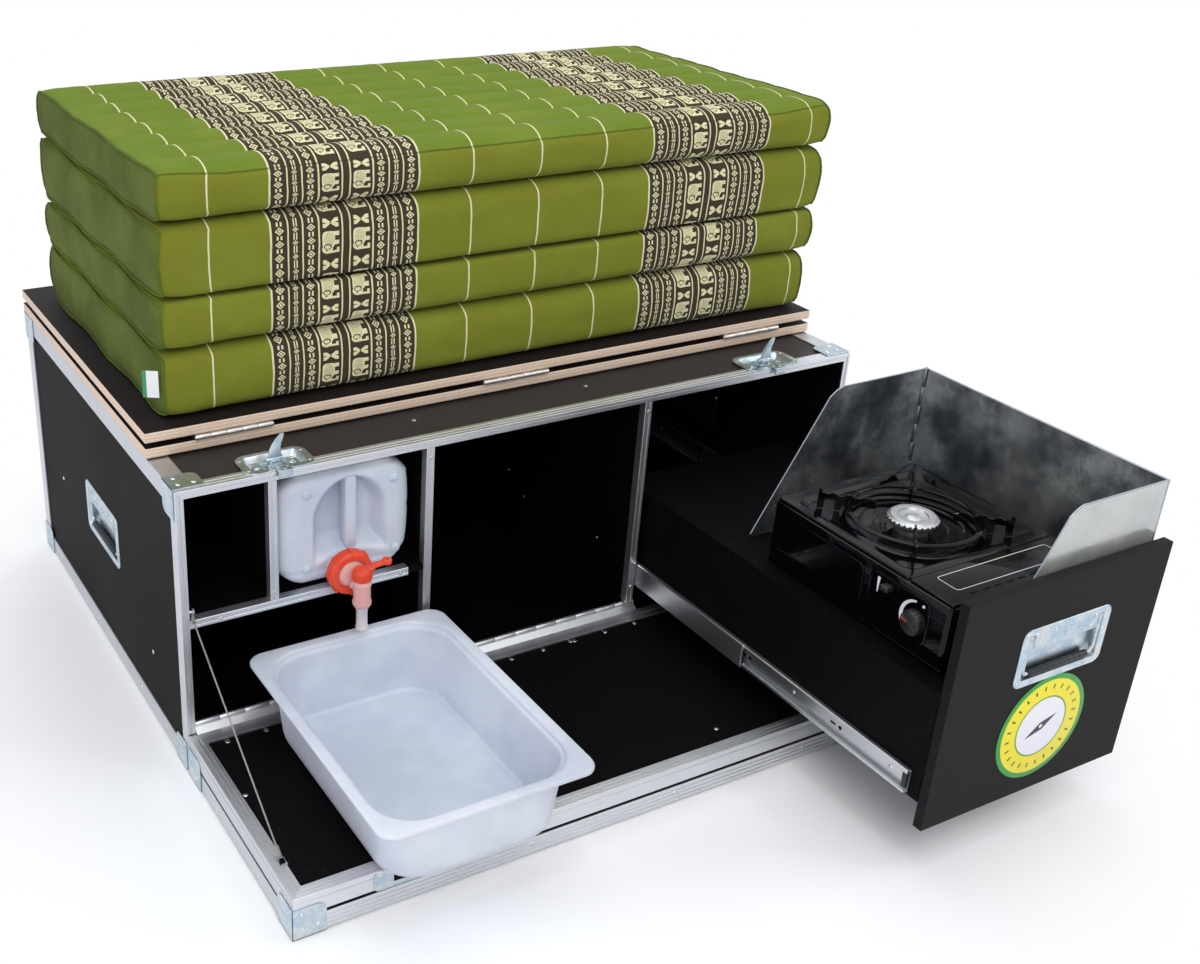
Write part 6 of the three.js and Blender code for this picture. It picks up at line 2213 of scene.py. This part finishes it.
    def lever(self) -> None:
        """Builds the red tap head with its knurling and lever."""
        solid, (x, y) = Solid(), self.stem
        solid.lathe([(0.0, 0.4), (13.0, 0.4), (14.0, 1.4), (14.2, 13.0), (13.0, 15.4), (10.0, 16.6), (0.0, 17.0)],
                    (x, y, 282.3), Axis.Z, 40)
        for k in range(24):
            a = math.tau * k / 24
            u, v = x + 14.2 * math.cos(a), y + 14.2 * math.sin(a)
            solid.rod((u, v, 284.6), (u, v, 294.6), 0.85, sides=6)
        sections = ((9.0, (-7.4, 6.0), (7.4, 16.4)), (20.0, (-5.0, 15.4), (5.0, 21.2)),
                    (34.0, (-4.6, 16.6), (4.6, 22.4)))
        solid.loft([[(x + reach, y + v, 282.3 + w) for v, w in rounded(lo, hi, 2.0, 3)] for reach, lo, hi in sections])
        solid.lathe([(0.0, 17.2), (9.4, 17.2), (10.2, 16.6), (11.0, 17.2), (11.8, 17.0), (12.4, 15.0), (0.0, 15.0)],
                    (x, y, 282.3), Axis.Z, 40)
        solid.lathe([(3.0, 0.0), (6.8, 0.0), (7.6, 1.0), (7.6, 6.6), (6.8, 7.6), (3.0, 7.6), (2.2, 6.8), (2.2, 0.8),
                     (3.0, 0.0)], (x + 39.6, y, 299.0), Axis.Z, 28)
        solid.piece("tap_lever_moulding", "tap", [Paints.red], ["tap_lever"], "red_plastic")

    def build(self) -> None:
        """Builds the canister, cap and tap."""
        self.body()
        self.cap()
        self.tap()
        self.lever()


@dataclass
class Drawer:
    """The kitchen drawer: front, box, deck, round badge and handle.

    Args:
        lo: Lowest X and Z of its front.
        hi: Highest X and Z of it.
        thick: Its thickness.
        middle: Middle of the handle, on the outer face.
        badge: Middle of the badge.
    """

    lo: Point = (800.0, 70.0)
    hi: Point = (1184.0, 422.0)
    thick: float = 14.0
    middle: Point = (1001.0, -638.0, 307.0)
    badge: Point = (998.0, -638.0, 179.0)

    def front(self) -> None:
        """Builds the front board with its darker edges and the round badge."""
        solid = Solid()
        x, face, z = self.middle
        back = face + self.thick
        edge, crest = [rounded((self.lo[0] + inset, self.lo[1] + inset), (self.hi[0] - inset, self.hi[1] - inset),
                               radius, 4) for inset, radius in ((0.0, 2.0), (0.6, 1.6))]
        hole = [(x + u, z + v) for u, v in rounded((-74.0, -36.5), (74.0, 36.5), 5.0, 4)]
        rings = ((hole, back), (edge, back), (edge, face + 0.6), (crest, face), (hole, face))
        solid.loft([[(u, y, v) for u, v in outline] for outline, y in rings], closed=True)
        solid.bm.normal_update()
        for face in solid.bm.faces:
            face.material_index = 0 if abs(face.normal.y) > 0.9 else 1
        solid.piece("drawer_front_board", "drawer", [Paints.front, Paints.edge], ["drawer_front"], "film_ply")
        solid = Solid()
        x, y, z = self.badge
        solid.rod((x, y - 0.1, z), (x, y - 0.9, z), 83.0, sides=96, bevel=0.25)
        solid.piece("drawer_badge", "drawer", [Badge("badge", middle=self.badge)])

    def build(self) -> None:
        """Builds everything that slides."""
        self.front()
        # The drawer's box and deck get the near-black film: painted shade inside the drawer, partly their own colour.
        dress(("drawer_box", "drawer_deck"), Paints.inner)
        Handle("drawer_handle", "drawer", "drawer", "drawer_grip",
               facing((1, 0, 0), (0, 0, 1), self.middle)).build()
        solid = Solid()
        solid.domes([(x, -623.6, z) for x in (803.2, 1169.0) for z in (118.0, 265.0)], (0, 1, 0), 2.6, 0.8)
        solid.piece("drawer_front_screws", "drawer", [Paints.rivet])


@dataclass
class Stove:
    """The cassette stove: body with a control panel, cartridge lid, hob, burner, pan support.

    Args:
        left: Its left side.
        right: Its right side.
        front: Its front.
        back: Its back.
        burner: X and Y of the burner.
        dial: Y and Z of the knob.
    """

    left: float = 828.0
    right: float = 1108.0
    front: float = -594.0
    back: float = -250.0
    burner: Point = (968.0, -386.0)
    dial: Point = (-541.0, 339.0)

    def panel(self, solid: Solid) -> None:
        """Adds the control panel's raised frames, marks and the window in the stove's left side.

        Args:
            solid: Where it is made.
        """
        x = self.left
        for lo, hi in (((-560.0, 306.0), (-452.0, 376.0)), ((-440.0, 310.0), (-262.0, 372.0))):
            outer, crest, inner = [rounded((lo[0] + inset, lo[1] + inset), (hi[0] - inset, hi[1] - inset), radius, 6)
                                   for inset, radius in ((0.0, 12.0), (1.0, 11.0), (4.0, 9.0))]
            rings = ((outer, 0.6), (outer, -0.9), (crest, -1.3), (inner, -1.3), (inner, -0.4))
            solid.loft([[(x + shift, u, v) for u, v in outline] for outline, shift in rings])
        crescent = [*arc((-539.0, 339.0), 28.4, -66, 82, 24), *reversed(arc((-542.4, 339.0), 26.4, -58, 75, 24))]
        solid.prism(crescent, Axis.X, x - 0.85, x - 0.3, slot=1)
        solid.rod((x - 0.3, -548.0, 364.6), (x - 0.9, -548.0, 364.6), 2.2, sides=16, slot=1)
        solid.prism([(-470.0, 368.0), (-465.2, 368.0), (-466.8, 345.0), (-468.4, 345.0)], Axis.X, x - 0.85, x - 0.3,
                    slot=1)

    def body(self) -> None:
        """Builds the body shell with its seams, vents and feet."""
        solid = Solid()
        rings = ((4.0, 288.6), (1.0, 290.0), (0.0, 293.0), (0.0, 379.0), (1.4, 382.6), (4.4, 384.0), (8.0, 384.0),
                 (8.6, 383.0), (9.0, 362.0))
        solid.loft([ring_at(rounded((self.left + 0.4 + inset, self.front + inset),
                                    (self.right - inset, self.back - inset), 11.0 - inset * 0.7, 6), z)
                    for inset, z in rings])
        solid.box((self.left + 2.0, self.front + 2.0, 284.6), (self.right - 2.0, self.back - 2.0, 290.0), 1.2, 2)
        for x in (self.left + 22.0, self.right - 22.0):
            for y in (self.front + 22.0, self.back - 22.0):
                solid.rod((x, y, 282.7), (x, y, 288.0), 9.0, 10.0, sides=20, bevel=0.8, slot=2)
        # Dark patches in the near-black film stand for the front vents: painted shade.
        for k in range(9):
            x = self.left + 40.0 + 24.0 * k
            solid.box((x, self.front - 0.6, 306.0), (x + 15.0, self.front + 0.2, 309.2), 0.2, 1, slot=2)
        for z in (302.0, 376.0):
            solid.box((self.left + 8.0, self.front - 0.9, z), (self.right - 8.0, self.front + 0.4, z + 1.6), 0.4, 1)
        # Dark patches in the near-black film stand for the vents in the left side: painted shade.
        for k in range(7):
            y = -410.0 + 20.0 * k
            for z in (320.0, 331.0):
                solid.box((self.left - 0.1, y, z), (self.left + 0.6, y + 12.0, z + 3.0), 0.2, 1, slot=2)
        self.panel(solid)
        solid.piece("stove_body_shell", "drawer", [Paints.enamel, Paints.white, Paints.inner], ["stove_body"],
                    "enamel")

    def cover(self) -> None:
        """Builds the cartridge lid with slots and a blank printed frame."""
        solid = Solid()
        solid.box((832.0, -589.6, 384.2), (1104.0, -513.6, 387.8), 1.6, 3)
        outer, inner = rounded((-104.0, -19.0), (104.0, 19.0), 6.0, 5), rounded((-103.0, -18.0), (103.0, 18.0), 5.0, 5)
        rings = ((outer, 387.6), (outer, 388.0), (inner, 388.0), (inner, 387.6))
        with solid.at(spot(970.0, -545.0, 0.0), slot=1):
            solid.loft([ring_at(outline, z) for outline, z in rings], closed=True)
        # Dark patches in the near-black film stand for the lid's slots: painted shade.
        for k in range(9):
            x = 876.0 + 22.0 * k
            solid.box((x, -578.0, 387.6), (x + 14.0, -574.6, 388.05), 0.15, 1, slot=2)
        solid.piece("cartridge_lid", "drawer", [Paints.enamel, Paints.white, Paints.inner], ["cartridge_cover"],
                    "enamel")

    def hob(self) -> None:
        """Builds the hob plate: square recess with concentric steps round the burner."""
        bx, by = self.burner

        def ring(half_x: float, half_y: float, radius: float, z: float) -> list[Point]:
            """A rectangular step."""
            return [(bx + u, by + v, z) for u, v in rounded((-half_x, -half_y), (half_x, half_y), radius, 10)]

        def rounds(radius: float, z: float) -> list[Point]:
            """A round step with as many points."""
            turns = [math.pi / 2 * (n + i / 10) for n in range(4) for i in range(11)]
            return [(bx + radius * math.cos(a), by + radius * math.sin(a), z) for a in turns]

        solid = Solid()
        outer = rounded((832.2 - bx, -512.2 - by), (1103.8 - bx, -254.2 - by), 6.0, 10)
        solid.loft([rounds(28.0, 365.8), rounds(97.0, 376.0), [(bx + u * 0.93, by + v * 0.93, 378.0) for u, v in outer],
                    [(bx + u, by + v, 384.2) for u, v in outer], [(bx + u, by + v, 386.6) for u, v in outer],
                    [(bx + u * 0.99, by + v * 0.99, 387.9) for u, v in outer], ring(122.0, 115.0, 18.0, 387.9),
                    ring(119.0, 112.0, 16.0, 387.2), ring(114.0, 107.0, 22.0, 380.0), ring(111.0, 104.0, 26.0, 379.0),
                    ring(100.0, 98.0, 60.0, 378.9), rounds(96.0, 378.9), rounds(93.0, 378.2), rounds(90.0, 375.0),
                    rounds(87.0, 374.2), rounds(74.0, 374.0), rounds(72.0, 373.2), rounds(70.0, 370.4),
                    rounds(67.0, 369.8), rounds(52.0, 369.6), rounds(50.0, 368.8), rounds(48.0, 366.8),
                    rounds(30.0, 366.6)])
        solid.piece("hob_plate", "drawer", [Paints.enamel], ["stove_hob"], "enamel")

    def head(self) -> None:
        """Builds the burner with its ring of flame ports."""
        solid, (x, y) = Solid(), self.burner
        solid.lathe([(0.0, 366.8), (24.0, 366.8), (25.0, 374.0), (31.0, 378.0), (33.0, 382.0), (37.0, 384.0),
                     (37.0, 387.0), (34.0, 388.6), (32.0, 391.2), (27.0, 392.0), (22.0, 391.2), (20.5, 388.0),
                     (12.0, 387.0), (10.0, 389.0), (6.0, 390.2), (0.0, 390.6)], (x, y, 0.0), Axis.Z, 56)
        # Dark blocks in the near-black film stand for the flame ports: painted shade.
        for k in range(28):
            a = math.tau * k / 28
            u, v = x + 35.6 * math.cos(a), y + 35.6 * math.sin(a)
            with solid.at(spot(u, v, 386.0) @ Matrix.Rotation(a, 4, "Z"), slot=1):
                solid.box((-1.6, -1.3, -0.9), (1.7, 1.3, 1.9), 0.2, 1)
        solid.piece("burner_head", "drawer", [Paints.casting, Paints.inner], ["burner"], "steel")

    def support(self) -> None:
        """Builds the pan support: drip ring and four notched arms."""
        solid, (x, y) = Solid(), self.burner
        solid.lathe([(87.6, 388.4), (94.0, 388.4), (96.0, 389.6), (96.0, 391.2), (94.0, 392.2), (88.6, 392.2),
                     (87.0, 391.0), (87.0, 389.2), (87.6, 388.4)], (x, y, 0.0), Axis.Z, 64)
        arm = [(53.0, 391.0), (98.0, 391.0), (101.0, 380.4), (109.0, 380.4), (110.0, 395.0), (124.0, 395.0),
               (125.0, 380.4), (134.0, 380.4), (134.4, 409.0), (132.6, 411.2), (129.8, 411.2), (128.6, 405.4),
               (120.0, 403.4), (116.0, 406.4), (111.0, 406.4), (107.0, 402.8), (99.0, 402.8), (95.0, 406.4),
               (88.0, 406.4), (84.0, 403.2), (75.0, 403.0), (71.0, 406.0), (62.0, 406.0), (58.0, 403.0), (53.0, 402.0)]
        for k in range(4):
            with solid.at(spot(x, y, 0.0) @ Matrix.Rotation(math.radians(45 + 90 * k), 4, "Z")):
                solid.prism(arm, Axis.Y, -1.3, 1.3, bevel=0.35, steps=1)
                solid.box((84.0, -7.0, 388.8), (98.0, 7.0, 391.0), 0.6, 1)
        solid.piece("pan_trivet", "support", [Paints.enamel], ["pan_support"], "enamel")

    def controls(self) -> None:
        """Builds the knob with its grip and mark, and the cartridge lever."""
        solid, (y, z) = Solid(), self.dial
        solid.lathe([(0.0, 826.8), (17.0, 826.8), (17.8, 825.6), (17.4, 816.0), (16.2, 813.6), (13.0, 812.4),
                     (0.0, 812.2)], (0.0, y, z), Axis.X, 40)
        for k in range(20):
            a = math.tau * k / 20
            u, v = y + 17.3 * math.cos(a), z + 17.3 * math.sin(a)
            solid.rod((825.2, u, v), (815.4, u, v), 0.9, 0.7, sides=6)
        with solid.at(spot(0.0, y, z) @ Matrix.Rotation(math.radians(24), 4, "X")):
            solid.box((810.8, -15.2, -3.6), (814.0, 15.2, 3.6), 1.2, 2)
            solid.box((810.6, 4.0, -0.9), (811.0, 14.0, 0.9), 0.1, 1, slot=1)
        solid.piece("stove_dial", "knob", [Paints.plastic, Paints.mark], ["stove_knob"], "enamel")
        solid = Solid()
        solid.box((813.0, -496.0, 360.0), (827.2, -482.0, 368.0), 1.6, 3)
        solid.box((811.6, -491.0, 361.6), (813.6, -487.0, 366.4), 0.8, 2)
        solid.piece("stove_slider", "lever", [Paints.plastic], ["stove_lever"], "enamel")

    def build(self) -> None:
        """Builds the stove."""
        self.body()
        self.cover()
        self.hob()
        self.head()
        self.support()
        self.controls()
        dress(("gas_cartridge",), Paints.zinc)


# Windshield


@dataclass
class Windshield:
    """The folding windshield beside and behind the stove, with hemmed edges and a knuckled hinge.

    Args:
        axis: X and Y of the hinge.
        low: Foot of the sheets.
        high: Their top.
        front: Plane of the front wing.
        sheet: Half the thickness of a sheet.
        hinge: Foot and height of the hinge.
        barrels: Knuckles in it.
    """

    axis: Point = (1170.2, -187.0)
    low: float = 282.9
    high: float = 508.4
    front: float = -616.4
    sheet: float = 0.6
    hinge: Point = (282.6, 226.4)
    barrels: int = 7

    def outline(self, right: float, top_reach: float, foot_reach: float) -> list[Point]:
        """Outlines a wing that slopes down at its far end.

        Args:
            right: Its hinge end.
            top_reach: Length of its level top.
            foot_reach: Length of its foot.

        Returns:
            The outline.
        """
        return [(right, self.low), (right, self.high), (right - top_reach, self.high),
                (right - top_reach - 12.0, self.high - 4.5), (right - top_reach - 23.0, self.high - 13.0),
                (right - foot_reach + 3.0, self.low + 6.0), (right - foot_reach + 1.0, self.low)]

    def hem(self, solid: Solid, right: float, top_reach: float, foot_reach: float, y: float) -> None:
        """Adds the folded bright edge along the top and the slope of a wing.

        Args:
            solid: Where it is made.
            right: Its hinge end.
            top_reach: Length of its level top.
            foot_reach: Length of its foot.
            y: Its plane.
        """
        solid.sweep([(u, y, v - 0.6) for u, v in self.outline(right, top_reach, foot_reach)[1:6]], 1.1, sides=8, slot=1)

    def knuckles(self, solid: Solid, odd: int) -> None:
        """Adds the barrels of one side of the hinge.

        Args:
            solid: Where they are made.
            odd: First of every second barrel.
        """
        (hx, hy), (foot, tall) = self.axis, self.hinge
        pitch = tall / self.barrels
        for k in range(odd, self.barrels, 2):
            z0, z1 = foot + pitch * k + 0.5, foot + pitch * (k + 1) - 0.5
            solid.rod((hx, hy, z0), (hx, hy, z1), 3.0, sides=16, bevel=0.3, slot=1)
            if odd:
                solid.box((hx - 5.4, hy - self.sheet, z0), (hx, hy + self.sheet, z1))
            else:
                solid.box((hx - self.sheet, hy - 5.4, z0), (hx + self.sheet, hy, z1))

    def build(self) -> None:
        """Builds the side sheet with its front wing, and the rear wing that folds."""
        (hx, hy), t = self.axis, self.sheet
        solid = Solid()
        side = [(self.front, self.low), (hy - 3.4, self.low), (hy - 3.4, self.high), (self.front, self.high)]
        solid.prism(side, Axis.X, hx - t, hx + t)
        solid.sweep([(hx, self.front, self.high - 0.6), (hx, hy - 3.6, self.high - 0.6)], 1.4, sides=8, slot=1)
        solid.box((hx - 1.6, self.front + 4.0, self.high - 9.0), (hx + 1.6, hy - 6.0, self.high - 0.4), 0.5, 1)
        solid.prism(self.outline(hx, 166.0, 300.0), Axis.Y, self.front - t, self.front + t, slot=2)
        self.hem(solid, hx, 166.0, 300.0, self.front)
        solid.rod((hx, self.front, self.low + 0.6), (hx, self.front, self.high - 0.6), 1.5, sides=12, bevel=0.3, slot=1)
        self.knuckles(solid, 0)
        solid.piece("shield_side_sheet", "windshield", [Paints.sheet, Paints.hem, Paints.plain_sheet],
                    ["windshield_sheet"], "galvanised")
        solid = Solid()
        right = hx - 3.2
        solid.prism(self.outline(right, 170.0, 318.0), Axis.Y, hy - t, hy + t)
        self.hem(solid, right, 170.0, 318.0, hy)
        self.knuckles(solid, 1)
        solid.piece("shield_rear_wing", "wing", [Paints.sheet, Paints.hem], ["windshield_wing"], "galvanised")


# Studio


@dataclass(frozen=True)
class FloorPaper(Finish):
    """Plain pale studio floor."""

    def shade(self, g: Graph) -> None:
        """Builds the node tree.

        Args:
            g: Graph of the material.
        """
        place = g.place()
        cloud = g.noise(place, 1.5, 3.0)
        base = g.mix(cloud * 0.3, paint("f7f7f8"), paint("f1f1f3"))
        g.surface(Base_Color=base, Roughness=0.75 + cloud * 0.1, Specular_IOR_Level=0.1)
        g.bump(g.noise(place, 220.0, 2.0), 0.0002, 0.3)
        seen = g.node("ShaderNodeLightPath", {}, {})[0]
        x, y, _ = g.parts(place)[:3]
        away = (x * x + y * y).root().span(0.7, 1.2)
        glow = g.node("ShaderNodeEmission", {}, {"Color": (1.0, 1.0, 1.0), "Strength": 1.0})[0]
        shown = g.node("ShaderNodeMixShader", {}, {0: seen * away, 1: Val(g, g.shader.outputs[0]), 2: glow})[0]
        g.join(g.output.inputs[0], shown)


@dataclass
class Studio:
    """Camera, lamps, floor and background.

    Args:
        seat: Camera position in metres.
        right: Its right in the CAD frame.
        ahead: Its view direction.
        focal: Focal length in pixels of the reference photo.
        middle: Where its axis meets the photo, in pixels.
        photo: Width and height of the photo.
    """

    seat: Point = (-1.1360, -1.6995, 1.3404)
    right: Point = (0.88005, -0.4742, 0.02524)
    ahead: Point = (0.43617, 0.78616, -0.43785)
    focal: float = 1436.3
    middle: Point = (421.2, 461.4)
    photo: Point = (1200.0, 964.0)

    def camera(self) -> None:
        """Sets the camera to the photo's view."""
        data = bpy.data.cameras.new("camera")
        data.sensor_width = 36.0
        data.lens = self.focal / self.photo[0] * data.sensor_width
        data.shift_x = (self.photo[0] / 2 - self.middle[0]) / self.photo[0]
        data.shift_y = (self.middle[1] - self.photo[1] / 2) / self.photo[0]
        data.clip_start, data.clip_end = 0.05, 60.0
        ahead = Vector(self.ahead).normalized()
        right = (Vector(self.right) - ahead * Vector(self.right).dot(ahead)).normalized()
        turn = Matrix((right, right.cross(ahead), -ahead)).transposed().to_4x4()
        made = add("camera", data)
        made.matrix_world = Matrix.Translation(Vector(self.seat)) @ turn
        bpy.context.scene.camera = made

    def lamp(self, name: str, seat: Point, target: Point, size: float, power: float, tint: Colour) -> None:
        """Adds a soft area lamp.

        Args:
            name: Its name.
            seat: Where it hangs, in metres.
            target: What it points at.
            size: Width of its square.
            power: Watts.
            tint: Colour.
        """
        data = bpy.data.lights.new(name, "AREA")
        data.shape, data.size, data.energy, data.color = "SQUARE", size, power, tint
        made = add(name, data)
        made.location = seat
        made.rotation_euler = (Vector(target) - Vector(seat)).to_track_quat("-Z", "Y").to_euler()

    def background(self) -> None:
        """Shows the camera and mirrors a white room, and lights softly."""
        world = bpy.data.worlds.new("studio")
        world.use_nodes = True
        tree = world.node_tree
        tree.nodes.clear()
        output = tree.nodes.new("ShaderNodeOutputWorld")
        white, dim = tree.nodes.new("ShaderNodeBackground"), tree.nodes.new("ShaderNodeBackground")
        white.inputs["Strength"].default_value = 1.0
        white.inputs["Color"].default_value = (1.0, 1.0, 1.0, 1.0)
        dim.inputs["Color"].default_value = (0.86, 0.9, 1.0, 1.0)
        dim.inputs["Strength"].default_value = 0.55
        path = tree.nodes.new("ShaderNodeLightPath")
        blend = tree.nodes.new("ShaderNodeMixShader")
        seen = tree.nodes.new("ShaderNodeMath")
        seen.operation = "MULTIPLY_ADD"
        seen.use_clamp = True
        seen.inputs[1].default_value = 0.55
        for start, end in ((path.outputs["Is Glossy Ray"], seen.inputs[0]),
                           (path.outputs["Is Camera Ray"], seen.inputs[2]),
                           (seen.outputs[0], blend.inputs[0]), (dim.outputs[0], blend.inputs[1]),
                           (white.outputs[0], blend.inputs[2]), (blend.outputs[0], output.inputs[0])):
            tree.links.new(start, end)
        bpy.context.scene.world = world

    def floor(self) -> None:
        """Lays a wide pale floor just below the object."""
        bm = bmesh.new()
        bmesh.ops.create_grid(bm, x_segments=4, y_segments=4, size=9.0, matrix=Matrix.Translation((0, 0, -0.0006)))
        mesh = bpy.data.meshes.new("floor")
        bm.to_mesh(mesh)
        bm.free()
        mesh.materials.append(FloorPaper("floor_paper").material())
        made = add("floor", mesh)

    def build(self) -> None:
        """Builds the stage."""
        self.camera()
        self.background()
        self.floor()
        for row in (("key_lamp", (-1.6, -3.2, 3.4), (0.0, 0.0, 0.4), 2.6, 84.0, (1.0, 0.97, 0.92)),
                    ("top_lamp", (0.4, 0.9, 3.9), (0.0, 0.0, 0.4), 3.2, 46.0, (0.96, 0.98, 1.0)),
                    ("side_lamp", (-3.4, 0.6, 1.6), (0.0, 0.0, 0.4), 2.0, 26.0, (0.94, 0.97, 1.0)),
                    ("rim_lamp", (3.2, -1.6, 2.2), (0.2, 0.0, 0.3), 2.0, 24.0, (1.0, 0.98, 0.95)),
                    ("spot_left", (-0.5, -0.9, 3.1), (0.2, -0.4, 0.4), 0.22, 5.0, (1.0, 1.0, 1.0)),
                    ("spot_right", (1.1, -1.5, 3.0), (0.3, -0.4, 0.4), 0.22, 5.0, (1.0, 1.0, 1.0)),
                    ("back_lamp", (2.1, 2.7, 1.9), (0.2, -0.3, 0.4), 0.8, 11.0, (0.95, 0.97, 1.0))):
            self.lamp(*row)
        bpy.context.scene.view_settings.view_transform = "Standard"


def main() -> None:
    """Builds the object and its stage."""
    logging.basicConfig(level=logging.INFO, format="%(message)s")
    Studio().build()
    for part in (CaseShell(), Profiles(), Corners(), Latches(), CaseHandles(), Slides(), Boards(), Flap(), Stay(),
                 Tub(), Canister(), Drawer(), Stove(), Windshield(), Mattress()):
        log.info("building %s", type(part).__name__)
        part.build()
    bpy.context.view_layer.update()


if __name__ == "__main__":
    main()
